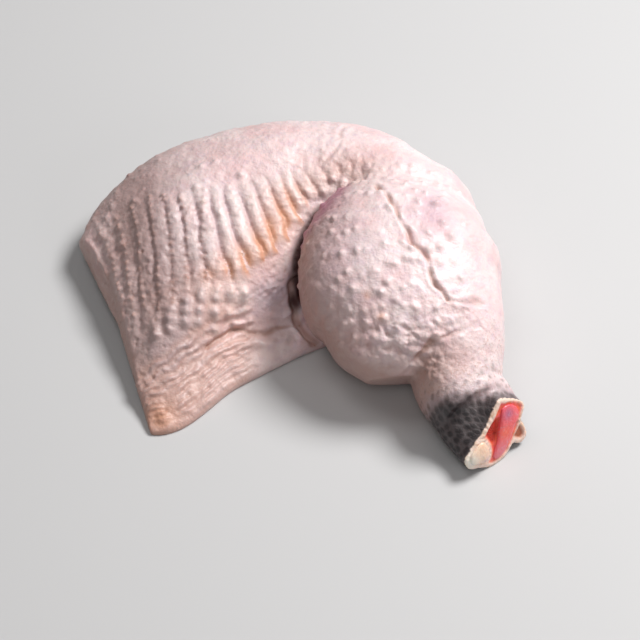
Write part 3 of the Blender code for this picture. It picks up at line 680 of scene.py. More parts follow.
def drop(tree, x, y):
    """The point of the skin under a place in plan, or None beside it."""
    hit = tree.ray_cast(Vector((x, y, ABOVE)) * MM, Vector((0, 0, -1)))[0]
    return None if hit is None else np.array(hit) / MM


def on_skin(tree, place):
    """The point of the skin under a place in plan, or nearest to a place in space."""
    if len(place) == 2:
        return drop(tree, *place)
    return np.array(tree.find_nearest(Vector(place) * MM)[0]) / MM


def skin_line(tree, corners):
    """Points on the skin along a smooth curve through places in plan or in space."""
    corners = np.asarray(corners, float)
    length = np.linalg.norm(np.diff(corners, axis=0), axis=1).sum()
    count = max(4, int(length / LINE_STEP))
    found = [on_skin(tree, spline(corners, k / count)) for k in range(count + 1)]
    return np.array([point for point in found if point is not None])


def beads(tree, lines, kind, rng):
    """Uneven places along lines on the skin."""
    places = []
    for corners in lines:
        line = skin_line(tree, corners)
        steps = np.linalg.norm(np.diff(line, axis=0), axis=1)
        along = np.concatenate(([0.0], np.cumsum(steps)))
        spots = np.arange(0.0, along[-1], kind["spacing"])
        spots += rng.uniform(-BEAD_STRAY, BEAD_STRAY, len(spots)) * kind["spacing"]
        places.extend(np.stack([np.interp(spots, along, line[:, axis]) for axis in range(3)], axis=1))
    return places


def near_line(points, line, reach):
    """Of the points within reach of a line: their indexes, distances and places along it, and its length."""
    low, high = line.min(axis=0) - reach, line.max(axis=0) + reach
    index = np.nonzero(((points > low) & (points < high)).all(axis=1))[0]
    best = np.full(len(index), np.inf)
    place = np.zeros(len(index))
    start = 0.0
    for a, b in zip(line, line[1:]):
        edge = b - a
        length = max(np.linalg.norm(edge), 1e-6)
        t = np.clip((points[index] - a) @ edge / length**2, 0.0, 1.0)
        distance = np.linalg.norm(points[index] - a - t[:, None] * edge, axis=1)
        closer = distance < best
        best[closer] = distance[closer]
        place[closer] = start + t[closer] * length
        start += length
    return index, best, place, start


def line_height(points, line, width, height):
    """Height that a fold, or a crease where it is negative, adds at each point."""
    found = np.zeros(len(points))
    index, distance, place, length = near_line(points, line, LINE_REACH * width)
    found[index] = height * np.exp(-((distance / width) ** 2))
    if height < 0:
        beside = distance / width - CREASE_LIP["beside"]
        found[index] += CREASE_LIP["height"] * np.exp(-(beside**2))
    found[index] *= fade(np.minimum(place, length - place) / width, *LINE_END)
    return found


def wander(points, kind):
    """The points, each moved a little by a smooth noise."""
    start = Vector(kind["start"])
    moves = [noise.noise_vector(Vector(point) / kind["wavelength"] + start) for point in points]
    return points + kind["reach"] * np.array(moves)


def ridge_field(tree, points):
    """Ridges pressed side by side: broad crests with scalloped sides that meet in sharp valleys.

    Returns the height, and how deep in a valley each point lies (0 to 1).
    """
    slanted = BEADS["slant"] * crumpling(points, BEADS["length"])
    points = wander(points, RIDGE_WANDER)
    pitch = RIDGE["pitch"]
    first = np.full(len(points), 2 * pitch)
    second = first.copy()
    tall = np.zeros(len(points))
    broad = np.ones(len(points))
    for number, (corners, high, beaded) in enumerate(RIDGES):
        line = skin_line(tree, corners)
        index, distance, place, length = near_line(points, line, RIDGE["reach"] * pitch)
        own = STRAY_NOISE["apart"] * number
        along = [Vector((spot, own, STRAY_NOISE["level"])) for spot in place / STRAY_NOISE["wavelength"]]
        stray = np.array([noise.noise(spot) for spot in along])
        turn = place / BEADS["length"] + BEADS["shift"] * number + BEADS["stray"] * stray + slanted[index]
        bead = beaded * np.cos(2 * math.pi * turn)
        foot = fade(length - place, *RIDGE["foot"])
        rise = high * fade(place, 0.0, min(RIDGE["rise"], length / 2)) * foot**2 * (3 - 2 * foot)
        rise *= (1 + BEADS["height"] * bead) * (1 + BEADS["uneven"] * beaded * stray)
        nearest = distance < first[index]
        between = ~nearest & (distance < second[index])
        second[index[nearest]] = first[index[nearest]]
        second[index[between]] = distance[between]
        first[index[nearest]] = distance[nearest]
        tall[index[nearest]] = rise[nearest]
        broad[index[nearest]] = 1 + BEADS["width"] * bead[nearest]
    share = np.clip(2 * first / (np.minimum(first + second, pitch) * broad), 0.0, 1.0)
    beside = first < RIDGE["beside"] * pitch
    return tall * (1 - share ** RIDGE["blunt"]), share * beside * np.clip(tall, 0.0, 1.0)


def pimple_height(points, places, radius, heights):
    """Height that small round bumps at the places add at each point."""
    found = np.zeros(len(points))
    for place, height in zip(places, heights):
        index = np.nonzero((np.abs(points - place) < BUMP_REACH * radius).all(axis=1))[0]
        distance = np.linalg.norm(points[index] - place, axis=1)
        found[index] += height * np.exp(-((distance / radius) ** 2))
    return found


def bumps(points, places, kind, rng):
    """Height that bumps of one kind, each with a height of its own, add at each point."""
    heights = kind["height"] * rng.uniform(*kind["uneven"], len(places))
    return pimple_height(points, places, kind["radius"], heights)


def calf_places(tree, kind, rng):
    """Uneven rows of places round the left and top of the drumstick."""
    stray = CALF_GRID["stray"]
    places = []
    rows = int(CALF_GRID["length"] / kind["spacing"])
    for row in range(rows):
        here, there = (CALF_GRID["first"] + CALF_GRID["span"] * k / rows for k in (row, row + 1))
        centre, across, up = limb_frame(CALF_ROWS, here)
        ahead = limb_frame(CALF_ROWS, there)[0] - centre
        step = kind["spacing"] / station(LIMB_NAMES, CALF_ROWS, here)["wide"]
        angle = CALF_GRID["low"] + 0.5 * step * (row % 2)
        while angle < CALF_GRID["high"]:
            turn = angle + rng.uniform(-stray, stray) * step
            start = centre + ahead * rng.uniform(-stray, stray)
            way = across * math.cos(turn) + up * math.sin(turn)
            hit = tree.ray_cast(start * MM, way)[0]
            if hit is not None and turn < rng.uniform(*CALF_GRID["thin"]):
                places.append(np.array(hit) / MM)
            angle += step
    return places


def thigh_spot(position, share):
    """A place in plan: how far along the thigh (0 to 1), and how far across it from the far edge."""
    at = station(THIGH_NAMES, THIGH_ROWS, position)
    return at["far"] + (at["near"] - at["far"]) * share


def thigh_places(tree, kind, rng):
    """Uneven rows of places across the thigh, between two shares of its width."""
    across, along = THIGH_GRID["across"], THIGH_GRID["along"]
    low, high = kind["across"]
    places = []
    rows = int(THIGH_GRID["length"] / kind["spacing"])
    for row in range(rows):
        position = THIGH_GRID["first"] + THIGH_GRID["span"] * row / rows
        step = kind["spacing"] / np.linalg.norm(thigh_spot(position, 0.0) - thigh_spot(position, 1.0))
        share = low + 0.5 * step * (row % 2)
        while share < high:
            there = share + rng.uniform(-across, across) * step
            shifted = min(max(position + rng.uniform(-along, along) / rows, 0.0), 1.0)
            hit = drop(tree, *thigh_spot(shifted, there))
            if hit is not None:
                places.append(hit)
            share += step
    return places


def ripple_field(tree, points):
    """Ripples along the ledge from its corner at the hip end: their height and their valleys."""
    kind = LEDGE_RIPPLES
    height = np.zeros(len(points))
    near = np.zeros(len(points))
    for share in np.linspace(kind["first"], kind["last"], kind["count"]):
        spread = np.linspace(kind["start"], kind["end"], RIPPLE_CORNERS)
        line = skin_line(tree, [thigh_spot(position, share) for position in spread])
        height = np.maximum(height, line_height(points, line, kind["width"], kind["height"]))
        near = np.maximum(near, line_height(points, line, RIPPLE_SPREAD * kind["width"], 1.0))
    uneven = RIPPLE_UNEVEN["middle"] + RIPPLE_UNEVEN["reach"] * crumpling(points, RIPPLE_UNEVEN["wavelength"])
    uneven = np.clip(uneven, RIPPLE_UNEVEN["least"], RIPPLE_UNEVEN["most"])
    return height * uneven, near * (1 - height / kind["height"])


def crumpling(points, wavelength):
    """Uneven height of the loose skin at each point, about -1 to 1."""
    return np.array([noise.fractal(Vector(point) / wavelength, *FRACTAL) for point in points])


def blob(points, centre, size):
    """A soft region: 1 at its centre, fading out over its size."""
    reach = (points - np.asarray(centre)) / np.asarray(size)
    return np.exp(-(reach**2).sum(axis=1))


def region(points, name):
    """The blobs of a named region together."""
    return sum(strength * blob(points, centre, size) for strength, centre, size in REGIONS[name])


def relief(tree, points):
    """Height of the skin's relief at each point, and the masks that its colours need."""
    rng = np.random.default_rng(SEED)
    height, valley = ridge_field(tree, points)
    ridged = height.copy()
    wandered = wander(points, LINE_WANDER)
    ripples, trough = ripple_field(tree, wandered)
    height += ripples * np.clip(1 - RIPPLE_YIELD * height, 0.0, 1.0)
    for corners, high, width in FOLDS:
        height += line_height(wandered, skin_line(tree, corners), width, high)
    groove = np.zeros(len(points))
    for corners, deep, width in CREASES:
        crease = line_height(wandered, skin_line(tree, corners), width, -deep)
        groove += np.clip(-crease, 0.0, None)
        height += crease
    on_calf = calf_places(tree, CALF_PIMPLES, rng)
    on_thigh = thigh_places(tree, THIGH_PIMPLES, rng)
    pimples = bumps(points, on_calf, CALF_PIMPLES, rng)
    pimples += bumps(points, on_thigh, THIGH_PIMPLES, rng)
    follicles = bumps(points, beads(tree, FOLLICLE_ROWS, FOLLICLE_BEADS, rng), FOLLICLE_BEADS, rng)
    rounds = bumps(points, beads(tree, BEAD_STRINGS, ROUND_BEADS, rng), ROUND_BEADS, rng)
    on_ledge = thigh_places(tree, LEDGE_DIMPLES, rng)
    on_slope = thigh_places(tree, FOLLICLES, rng)
    pits = bumps(points, on_ledge, LEDGE_DIMPLES, rng)
    pits += bumps(points, on_slope, FOLLICLES, rng)
    pits += pimple_height(points, [PORE["place"]], PORE["radius"], [-PORE["depth"]])
    knobs = bumps(points, thigh_places(tree, KNOBS, rng), KNOBS, rng)
    pimples += knobs * blob(points, *KNOBS_NEAR)
    height += pimples + follicles + rounds + pits
    height += pimple_height(points, [PORE["place"]], PORE["ring"], [PORE["height"]])
    loose = np.zeros(len(points))
    for centre, size, wavelength, high in CRUMPLES:
        loose += high * blob(points, centre, size) * crumpling(points, wavelength)
    height += loose
    masks = dict(ridged=ridged, valley=valley, trough=trough, groove=groove, loose=loose)
    return height, masks | dict(pimples=pimples, follicles=follicles, rounds=rounds, pits=-pits)


def scaly_part(points):
    """How near each point is to the grey scales of the hock: 1 among them, fading up the shank."""
    place = cut_place(points)
    top = np.maximum(SCALES["middle"] - SCALES["slope"] * place[:, 0], 0.0)
    near = np.linalg.norm(place, axis=1) < SCALES["reach"]
    return near * fade(top + place[:, 2], -SCALES["fade"], SCALES["fade"])


def hock_map(points):
    """Each point's place on the hock's skin, in millimetres: round it, and away from the cut."""
    place = cut_place(points)
    long, short = place[:, 0] - HOCK_MIDDLE[0], place[:, 1] - HOCK_MIDDLE[1]
    turned = np.arctan2(long - short, -(long + short))
    return np.stack((HOCK_RADIUS * turned, place[:, 2], np.zeros(len(points))), axis=1)


def colour_masks(points, normals, masks, join, edge):
    """The soft regions of colour, each from 0 to 1 at every point; several of them are painted shade."""
    # Orange of the ridges' feet, the knee band, the beads and the marks; in the valleys and ripple troughs it
    # is painted shade.
    own, more = ENDS_SHARE
    warm = region(points, "ends") * (own + more * masks["valley"])
    own, more = BAND_SHARE
    warm += region(points, "band") * (own + more * masks["valley"])
    warm += region(points, "beads") * (1 - np.clip(masks["rounds"], 0.0, 1.0))
    warm += region(points, "marks") + TROUGH_SHADE * masks["trough"]
    # Painted shade in creases, pits and the crumpling's hollows, and the follicle beads' own brown.
    shade = masks["groove"] + SHADE_SHARE["pits"] * masks["pits"]
    shade -= SHADE_SHARE["loose"] * np.clip(masks["loose"], -1.0, 0.0)
    shade += SHADE_SHARE["follicles"] * masks["follicles"]
    # Painted shade down the hip end's flank, more lower down and in the valleys.
    left, back = HIP_SHADE_BAND["place"]
    along = (points[:, 0] - left + HIP_SHADE_BAND["slant"] * (points[:, 1] - back)) / HIP_SHADE_BAND["width"]
    own, more = HIP_SHADE_BAND["share"]
    hip = np.exp(-(along**2)) * fade(points[:, 2], *HIP_SHADE_BAND["top"]) * (own + more * masks["valley"])
    # Painted shade where the skin turns down and to the left, and over the low regions.
    low = np.clip(TURNED_DOWN_SHADE["level"] - normals @ TURNED_DOWN_SHADE["way"], 0.0, 1.0) + region(points, "low")
    # Painted shade on the ledge, darker lower down.
    ledge = fade(points[:, 2], *LEDGE_SHADE_AREA["top"]) * (points[:, 1] < LEDGE_SHADE_AREA["back"])
    ledge *= fade(points[:, 0], *LEDGE_SHADE_AREA["right"])
    regions = dict(
        warm=warm,
        crest=masks["ridged"] / CREST_FULL + masks["rounds"],
        # painted shade in the ridges' valleys
        hollow=masks["valley"],
        shade=shade,
        blush=PURPLE_EDGE["strength"] * edge + region(points, "purple"),
        lavender=region(points, "lavender"),
        pimple=masks["pimples"] / PIMPLE_FULL,
        scaly=scaly_part(points),
        # painted shade in the crevice
        join=join + region(points, "join"),
        low=low,
        ledge=ledge,
        hip=hip,
    )
    return {name: np.clip(values, 0.0, 1.0) for name, values in regions.items()}


def cut_place(points):
    """Each point's place in the cut: the long way, the short way and out of it."""
    return (points - np.array(CUT_MIDDLE)) @ np.array(cut_frame())


def near_cut(place, deep):
    """Which places lie at the cut, down to a depth under its plane."""
    return (place[:, 2] > -deep) & (np.linalg.norm(place, axis=1) < CUT_FACE["reach"])


def spot(place, long, short, radius):
    """A soft spot in the cut: 1 at its middle, fading out over its radius."""
    return np.exp(-((np.hypot(place[:, 0] - long, place[:, 1] - short) / radius) ** 2))


def depth_inside(outline, places):
    """How far inside a closed outline each place of the plane lies, less than 0 outside it."""
    curve = np.array(closed_curve(outline, OUTLINE_POINTS))
    after = np.roll(curve, -1, axis=0)
    distance = np.full(len(places), np.inf)
    crossings = np.zeros(len(places), int)
    for a, b in zip(curve, after):
        edge = b - a
        t = np.clip((places - a) @ edge / max(edge @ edge, 1e-9), 0.0, 1.0)
        distance = np.minimum(distance, np.linalg.norm(places - a - t[:, None] * edge, axis=1))
        across = (a[1] > places[:, 1]) != (b[1] > places[:, 1])
        level = edge[1] if edge[1] else 1e-9
        crossings += across & (places[:, 0] < a[0] + edge[0] * (places[:, 1] - a[1]) / level)
    return np.where(crossings % 2 == 1, distance, -distance)


def cut_relief(points):
    """How far the cut's surface stands out or lies deep, and the masks of its colours."""
    place = cut_place(points)
    near = np.nonzero(near_cut(place, CUT_FACE["deep"]))[0]
    flat = place[near, :2]
    inside = depth_inside(CUT_OUTLINE, flat)
    flap = depth_inside(FLAP_OUTLINE, flat)
    rim = RIM["right"] + (RIM["left"] - RIM["right"]) * fade(flat[:, 1], *RIM["turn"])
    in_flap = fade(flat[:, 1], *TENDON["beside"]) * (flap > -TENDON["outside"])
    bed = fade(depth_inside(CARTILAGE_OUTLINE, flat), *CREAM_BED)
    flesh = fade(inside - rim, 0.0, RIM["inner"]) * (1 - bed) * (1 - in_flap)
    blood = fade(depth_inside(BLOOD_OUTLINE, flat), *BLOOD["edge"]) * flesh
    tendon = fade(flap, *TENDON["edge"]) * in_flap
    rough = FLESH["rough"] * crumpling(points[near], FLESH["wavelength"])
    deep = flesh * (FLESH["depth"] + rough) + blood * BLOOD["depth"] + tendon * TENDON["depth"]
    height = np.zeros(len(points))
    height[near] = RIM["rise"] * np.clip(inside, 0.0, 1.0) * (1 - flesh) - deep
    kinds = dict(cut=1.0, flesh=flesh, blood=blood, tendon=tendon, white=spot(flat, *WHITE_TIP))
    masks = {}
    for name, values in kinds.items():
        masks[name] = np.zeros(len(points))
        masks[name][near] = values
    return height, masks


def join_masks(points, trees):
    """How near each point is to where the thigh and the drumstick meet, and to it on the drumstick."""
    places = [Vector(point) * MM for point in points]
    thigh, calf = np.array([[tree.find_nearest(place)[3] for place in places] for tree in trees]) / MM
    near = np.exp(-(thigh**2 + calf**2) / JOIN["width"] ** 2)
    near *= fade(points[:, 1], *JOIN["back"]) * (points[:, 0] < JOIN["right"])
    beside = np.exp(-((thigh / PURPLE_EDGE["reach"]) ** 2)) * fade(thigh - calf, *PURPLE_EDGE["side"])
    beside *= fade(points[:, 1], *PURPLE_EDGE["front"]) * fade(points[:, 0], *PURPLE_EDGE["right"])
    return near, beside


def store(mesh, name, values):
    """Keeps a value at every point of the mesh, for the materials."""
    layer = mesh.attributes.new(name, "FLOAT", "POINT")
    layer.data.foreach_set("value", np.asarray(values, np.float32))


def raise_relief(obj, trees):
    """Moves the skin out by its relief, leaves the underside plain and keeps the colour masks."""
    points = points_of(obj.data)
    normals = normals_of(obj.data)
    tree = BVHTree.FromObject(obj, bpy.context.evaluated_depsgraph_get())
    height, masks = relief(tree, points)
    join, edge = join_masks(points, trees)
    height -= JOIN["depth"] * join
    colours = colour_masks(points, normals, masks, join, edge)
    cut_height, cut_masks = cut_relief(points)
    height *= fade(normals[:, 2], *RELIEF_TURN) * fade(points[:, 2], *RELIEF_HEIGHT)
    height = np.where(cut_masks["cut"] > 0, cut_height, height)
    places = hock_map(points)
    points += normals * height[:, None]
    points[:, 2] = np.maximum(points[:, 2], 0.0)
    move_points(obj.data, points)
    for name, values in (colours | cut_masks).items():
        store(obj.data, name, values)
    layer = obj.data.attributes.new("hock", "FLOAT_VECTOR", "POINT")
    layer.data.foreach_set("vector", places.astype(np.float32).ravel())
    kept = obj.vertex_groups.new(name="fine")
    for index in np.nonzero(cut_masks["cut"] == 0)[0]:
        kept.add([int(index)], 1.0, "REPLACE")


def thin_out(obj, triangles):
    """Keeps the triangles where the skin bends most, and all those of the cut."""
    thinned = obj.modifiers.new("thin out", "DECIMATE")
    thinned.ratio = min(1.0, triangles / (2 * len(obj.data.polygons)))
    thinned.use_collapse_triangulate = True
    thinned.vertex_group = "fine"
    bake(obj)
    obj.vertex_groups.clear()


def finer(rows):
    """The rows with evenly spaced ones on a smooth curve between them."""
    count = BETWEEN_ROWS * (len(rows) - 1)
    return [tuple(spline(rows, k / count)) for k in range(count + 1)]


def bone(name):
    """The shin bone: its round shaft, and then its two-lobed end in the cut."""
    end = scaled_rings(BONE_OUTLINE, finer(BONE_ROWS))
    rings = []
    steps = BETWEEN_ROWS * (len(SHAFT_ROWS) - 1)
    middle = sum(end[0], Vector()) / SECTION_POINTS
    for k in range(steps + 1):
        at = station(SHAFT_NAMES, SHAFT_ROWS, k / steps)
        centre = Vector(at["centre"])
        rings.append([centre + (point - middle).normalized() * at["radius"] for point in end[0]])
    return loft(name, rings + end)


def cartilage(name):
    """The knob of cartilage at the low corner of the cut."""
    return loft(name, scaled_rings(CARTILAGE_OUTLINE, finer(CARTILAGE_ROWS)))


def keep_spots(obj, kinds):
    """Keeps soft spots on a piece's end in the cut, for its material."""
    place = cut_place(points_of(obj.data))
    for name, kind in kinds.items():
        store(obj.data, name, spot(place, *kind))


class Nodes:
    """Builds one material's node tree, so that each shader reads as a short list of steps."""

    def __init__(self, name):
        self.material = bpy.data.materials.new(name)
        self.material.use_nodes = True
        self.tree = self.material.node_tree
        self.shader = self.tree.nodes["Principled BSDF"]
        self.coordinates = self.add("ShaderNodeTexCoord").outputs["Object"]

    def link(self, source, target):
        """Links an input to a socket or sets its value; a colour is given as red, green and blue."""
        if isinstance(source, bpy.types.NodeSocket):
            self.tree.links.new(source, target)
        else:
            target.default_value = (*source, 1.0) if target.type == "RGBA" else source

    def add(self, kind, inputs=None, **settings):
        """A new node with its settings and its inputs, these by name or number."""
        node = self.tree.nodes.new(kind)
        for name, value in settings.items():
            setattr(node, name, value)
        for name, value in (inputs or {}).items():
            self.link(value, node.inputs[name])
        return node

    def mask(self, name):
        return self.add("ShaderNodeAttribute", attribute_name=name).outputs["Fac"]

    def rows(self, name, size, turned, uneven):
        """Distance from the middles of uneven cells laid out in slanted rows on mapped places."""
        places = self.add("ShaderNodeAttribute", attribute_name=name).outputs["Vector"]
        mapping = self.add("ShaderNodeMapping", dict(Vector=places, Rotation=(0.0, 0.0, turned)))
        inputs = dict(Vector=mapping.outputs["Vector"], Scale=1.0 / size, Randomness=uneven)
        return self.add("ShaderNodeTexVoronoi", inputs, voronoi_dimensions="2D").outputs["Distance"]

    def noise(self, wavelength, detail=3.0, roughness=0.55):
        inputs = dict(Scale=1.0 / (wavelength * MM), Detail=detail, Roughness=roughness)
        return self.add("ShaderNodeTexNoise", inputs | dict(Vector=self.coordinates)).outputs["Fac"]

    def cells(self, size):
        inputs = dict(Scale=1.0 / (size * MM), Vector=self.coordinates)
        return self.add("ShaderNodeTexVoronoi", inputs).outputs["Distance"]

    def ramp(self, value, low, high):
        """0 below low, 1 above high, smooth between."""
        inputs = {"Value": value, "From Min": low, "From Max": high}
        return self.add("ShaderNodeMapRange", inputs, interpolation_type="SMOOTHSTEP").outputs["Result"]

    def math(self, operation, one, other):
        return self.add("ShaderNodeMath", {0: one, 1: other}, operation=operation).outputs[0]

    def uneven(self, least, noise, reach):
        """A value that rises from the least one with a noise."""
        return self.math("ADD", least, self.math("MULTIPLY", noise, reach))

    def mix(self, share, one, other):
        """A colour between two."""
        return self.add("ShaderNodeMix", {0: share, 6: one, 7: other}, data_type="RGBA").outputs[2]

    def over(self, colour, share, strength, tint):
        """A colour with a tint laid over it where a mask shows."""
        return self.mix(self.math("MULTIPLY", share, strength), colour, tint)

    def bump(self, height, distance, below=None):
        inputs = dict(Strength=1.0, Distance=distance * MM, Height=height)
        if below is not None:
            inputs["Normal"] = below
        return self.add("ShaderNodeBump", inputs).outputs["Normal"]

    def shade(self, **inputs):
        """Links or sets the shader's own inputs."""
        for name, value in inputs.items():
            self.link(value, self.shader.inputs[name.replace("_", " ")])

    def wet(self, colour, roughness, normal, inside, coat):
        """A moist surface: how much light goes into it and how far, and its coat's weight and roughness."""
        self.shade(Base_Color=colour, Roughness=roughness, Normal=normal, Subsurface_Scale=0.0015)
        self.shade(Subsurface_Weight=inside[0], Subsurface_Radius=inside[1])
        self.shade(Coat_Weight=coat[0], Coat_Roughness=coat[1])


# Colours of the skin and of what the cut shows, as linear red, green and blue
PALE = (0.89, 0.745, 0.74)
PINK = (0.82, 0.60, 0.60)
FLUSH = (0.80, 0.54, 0.55)
LAVENDER = (0.60, 0.46, 0.57)
# Painted shade for the ridges' valleys
VALLEY_SHADE = (0.50, 0.34, 0.37)
CREAM = (0.92, 0.79, 0.74)
# Painted shade for the ledge
LEDGE_SHADE = (0.62, 0.42, 0.38)
# Painted shade for the hip end's flank
HIP_SHADE = (0.40, 0.285, 0.285)
ORANGE = (0.68, 0.29, 0.13)
PURPLE = (0.40, 0.15, 0.23)
# Painted shade for the crevice between thigh and drumstick
CREVICE_SHADE = (0.075, 0.022, 0.020)
BROWN = (0.44, 0.24, 0.18)
# Painted shade for the low parts and for skin turned down and left
LOW_SHADE = (0.41, 0.245, 0.205)
SCALE_DARK = (0.028, 0.021, 0.023)
SCALE_LIGHT = (0.088, 0.070, 0.072)
SCALE_FADE = (0.46, 0.36, 0.39)
FLESH_ORANGE = (0.97, 0.16, 0.06)
BLOOD_RED = (0.58, 0.026, 0.008)
RIM_CREAM = (0.95, 0.72, 0.61)
TENDON_BROWN = (0.48, 0.13, 0.06)
BONE_PINK = (0.97, 0.13, 0.15)
BONE_ROSE = (0.86, 0.20, 0.25)
BONE_VIOLET = (0.48, 0.14, 0.27)
CARTILAGE_PEACH = (0.97, 0.64, 0.46)
CARTILAGE_WHITE = (0.95, 0.90, 0.80)
CARTILAGE_LILAC = (0.68, 0.52, 0.62)


# The tints that the skin's masks lay over its mottled ground, in order: mask, strength and colour
SKIN_TINTS = (
    # hollow, ledge, hip and low lay painted shade; shade and warm lay it in part.
    ("hollow", 0.7, VALLEY_SHADE),
    ("crest", 0.45, CREAM),
    ("pimple", 0.5, PALE),
    ("hip", 1.0, HIP_SHADE),
    ("ledge", 0.7, LEDGE_SHADE),
    ("low", 0.85, LOW_SHADE),
    ("warm", 0.75, ORANGE),
    ("shade", 0.65, BROWN),
    ("blush", 0.8, PURPLE),
)


def skin_colour(n, fine):
    """The colour of the skin before its scales and the cut, with painted shade in its valleys, creases and
    crevice.
    """
    colour = n.mix(n.ramp(n.noise(16.0, 2.0), 0.35, 0.70), PALE, PINK)
    colour = n.over(colour, n.mask("lavender"), 0.6, LAVENDER)
    colour = n.over(colour, n.ramp(n.noise(3.0, 4.0, 0.6), 0.42, 0.72), 0.40, LAVENDER)
    colour = n.over(colour, n.ramp(n.noise(6.5, 3.0), 0.48, 0.70), 0.35, FLUSH)
    for name, strength, tint in SKIN_TINTS:
        colour = n.over(colour, n.mask(name), strength, tint)
    # Brown specks over the shade mask: partly painted shade, partly the follicles' own brown.
    freckles_and_shade = n.math("MULTIPLY", n.ramp(fine, 0.62, 0.75), n.mask("shade"))
    colour = n.mix(freckles_and_shade, colour, BROWN)
    specks = n.math("MULTIPLY", n.ramp(fine, 0.50, 0.68), n.ramp(n.mask("scaly"), 0.02, 0.50))
    colour = n.over(colour, specks, 0.5, BROWN)
    # Painted shade darkens the crevice between thigh and drumstick.
    return n.mix(n.ramp(n.mask("join"), 0.18, 0.80), colour, CREVICE_SHADE)


def scales(n):
    """The hock's scales: how strongly they show, their colour and the height of their middles."""
    apart = n.rows("hock", SCALES["size"], SCALES["turned"], SCALES["uneven"])
    ragged = n.uneven(n.mask("scaly"), n.noise(5.0), 0.24)
    ragged = n.math("SUBTRACT", ragged, 0.12)
    middle = n.math("SUBTRACT", n.math("MULTIPLY", ragged, 0.40), apart)
    dark = n.ramp(middle, -0.20, 0.22)
    covered = n.ramp(ragged, 0.55, 1.02)
    colour = n.mix(n.ramp(ragged, 0.70, 1.0), SCALE_FADE, SCALE_LIGHT)
    colour = n.mix(dark, colour, SCALE_DARK)
    dots = n.math("MULTIPLY", dark, n.ramp(ragged, 0.15, 0.70))
    strength = n.math("MAXIMUM", covered, n.math("MULTIPLY", dots, 0.45))
    return strength, colour, n.math("MULTIPLY", dark, covered)


def cut_colour(n):
    """The colour of the cut's rim, flesh, blood and tendon."""
    streaks = n.ramp(n.noise(1.3, 3.0), 0.35, 0.70)
    flesh = n.mix(streaks, FLESH_ORANGE, BONE_PINK)
    flesh = n.mix(n.mask("blood"), flesh, BLOOD_RED)
    rim = n.mix(n.ramp(n.noise(2.5, 3.0), 0.45, 0.70), RIM_CREAM, CARTILAGE_PEACH)
    colour = n.mix(n.mask("flesh"), rim, flesh)
    colour = n.mix(n.mask("white"), colour, CARTILAGE_WHITE)
    return n.mix(n.mask("tendon"), colour, TENDON_BROWN)


def skin_material():
    n = Nodes("raw_skin")
    fine = n.noise(0.9, 3.0, 0.6)
    colour = skin_colour(n, fine)
    scaled, scale_colour, domes = scales(n)
    colour = n.mix(scaled, colour, scale_colour)
    normal = n.bump(n.noise(1.8, 4.0, 0.65), 0.21)
    for height, distance in ((n.cells(1.7), 0.14), (fine, 0.12), (domes, 0.12)):
        normal = n.bump(height, distance, normal)
    colour = n.mix(n.mask("cut"), colour, cut_colour(n))
    n.wet(colour, n.uneven(0.33, fine, 0.25), normal, (0.15, (1.0, 0.45, 0.35)), (0.14, 0.2))
    return n.material


def bone_material():
    n = Nodes("bone_end")
    colour = n.mix(n.mask("lower"), BONE_PINK, BONE_ROSE)
    colour = n.over(colour, n.mask("violet"), 0.8, BONE_VIOLET)
    colour = n.over(colour, n.mask("middle"), 0.7, FLESH_ORANGE)
    colour = n.over(colour, n.ramp(n.noise(1.1, 4.0, 0.65), 0.50, 0.75), 0.4, CARTILAGE_LILAC)
    roughness = n.uneven(0.2, n.noise(2.0), 0.25)
    n.wet(colour, roughness, n.bump(n.noise(1.0, 4.0), 0.25), (0.2, (1.0, 0.3, 0.2)), (0.4, 0.12))
    return n.material


def cartilage_material():
    n = Nodes("cartilage")
    colour = n.over(CARTILAGE_PEACH, n.ramp(n.noise(1.8, 3.0), 0.4, 0.7), 0.35, RIM_CREAM)
    colour = n.mix(n.mask("white"), colour, CARTILAGE_WHITE)
    colour = n.mix(n.mask("lilac"), colour, CARTILAGE_LILAC)
    roughness = n.uneven(0.15, n.noise(2.0), 0.25)
    n.wet(colour, roughness, n.bump(n.noise(1.5, 3.0), 0.2), (0.3, (1.0, 0.6, 0.4)), (0.4, 0.1))
    return n.material


def finish_piece(obj, node, material, shift):
    """Moves a piece into the model's frame, gives it its material and puts it in its node's place."""
    obj.data.transform(Matrix.Translation(shift))
    obj.data.materials.clear()
    obj.data.materials.append(material)
    obj.data.shade_smooth()
    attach(obj, "root")
    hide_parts(node)


def make_skin():
    """The skin: the bodies fused, eased and set down, and then raised by the relief."""
    bodies = make_bodies()
    depsgraph = bpy.context.evaluated_depsgraph_get()
    trees = [BVHTree.FromObject(body, depsgraph) for body in bodies[:2]]
    skin = fuse("leg_skin", bodies)
    blend_knee(skin)
    ease_rim(skin)
    rest_flat(skin, SAG)
    raise_relief(skin, trees)
    thin_out(skin, SKIN_TRIANGLES)
    rest_flat(skin, 0.0)
    return skin


def make_floor():
    mesh = bmesh.new()
    bmesh.ops.create_grid(mesh, x_segments=1, y_segments=1, size=FLOOR["size"])
    floor = new_object("floor", mesh)
    n = Nodes("floor")
    n.shade(Base_Color=FLOOR["colour"], Roughness=FLOOR["roughness"])
    floor.data.materials.append(n.material)


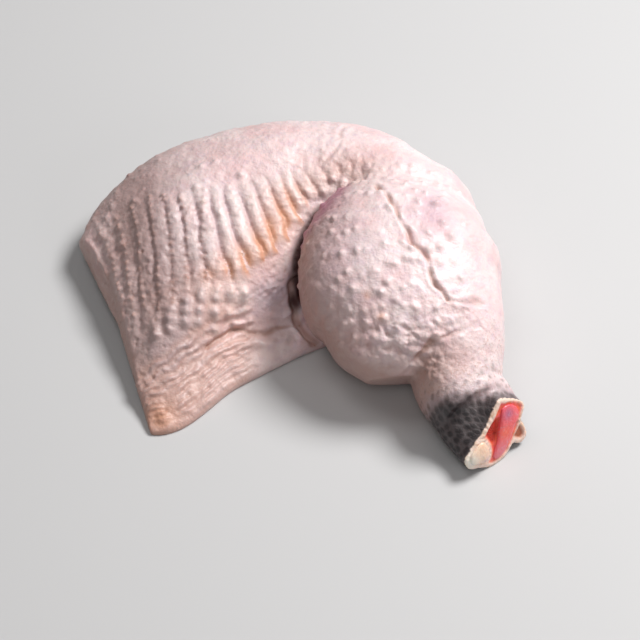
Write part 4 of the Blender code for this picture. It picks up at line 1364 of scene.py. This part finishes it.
def make_light():
    for name, (place, size, power, colour) in LIGHTS.items():
        light = bpy.data.lights.new(name, "AREA")
        light.shape = "DISK"
        light.size = size
        light.energy = power
        light.color = colour
        obj = bpy.data.objects.new(name, light)
        bpy.context.scene.collection.objects.link(obj)
        obj.location = place
        way = Vector(LIGHT_TARGET) - Vector(place)
        obj.rotation_euler = way.to_track_quat("-Z", "Y").to_euler()
    world = bpy.data.worlds.new("studio")
    world.use_nodes = True
    background = world.node_tree.nodes["Background"]
    background.inputs["Color"].default_value = WORLD["colour"]
    background.inputs["Strength"].default_value = WORLD["strength"]
    bpy.context.scene.world = world
    bpy.context.scene.view_settings.view_transform = "Standard"


def make_camera(shift):
    """The camera at the photograph's height, distance, roll and framing."""
    ahead = Vector((0, math.cos(CAMERA_ELEVATION), -math.sin(CAMERA_ELEVATION)))
    level = Vector((1, 0, 0))
    above = level.cross(ahead)
    right = level * math.cos(CAMERA_ROLL) + above * math.sin(CAMERA_ROLL)
    up = above * math.cos(CAMERA_ROLL) - level * math.sin(CAMERA_ROLL)
    data = bpy.data.cameras.new("camera")
    data.sensor_width = SENSOR
    data.lens = SENSOR * CAMERA_DISTANCE / (PICTURE * PIXEL)
    data.clip_start = CAMERA_NEAR
    camera = bpy.data.objects.new("camera", data)
    bpy.context.scene.collection.objects.link(camera)
    place = (right * AIM_RIGHT + up * AIM_UP - ahead * CAMERA_DISTANCE) * MM + shift
    turned = Matrix((right, up, -ahead)).transposed().to_4x4()
    camera.matrix_world = Matrix.Translation(place) @ turned
    bpy.context.scene.camera = camera


def main():
    noise.seed_set(NOISE_SEED)
    shin_bone = bone("bone_end")
    keep_spots(shin_bone, BONE_SPOTS)
    knob = cartilage("cartilage_end")
    keep_spots(knob, CARTILAGE_SPOTS)
    low = Vector(points_of(shin_bone.data).min(axis=0)) * MM
    high = Vector(points_of(shin_bone.data).max(axis=0)) * MM
    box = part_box("shin_bone")
    shift = ((Vector(box[0]) - low) + (Vector(box[1]) - high)) / 2
    finish_piece(make_skin(), "leg", skin_material(), shift)
    finish_piece(shin_bone, "shin_bone", bone_material(), shift)
    finish_piece(knob, "joint_cartilage", cartilage_material(), shift)
    make_floor()
    make_light()
    make_camera(shift)


main()
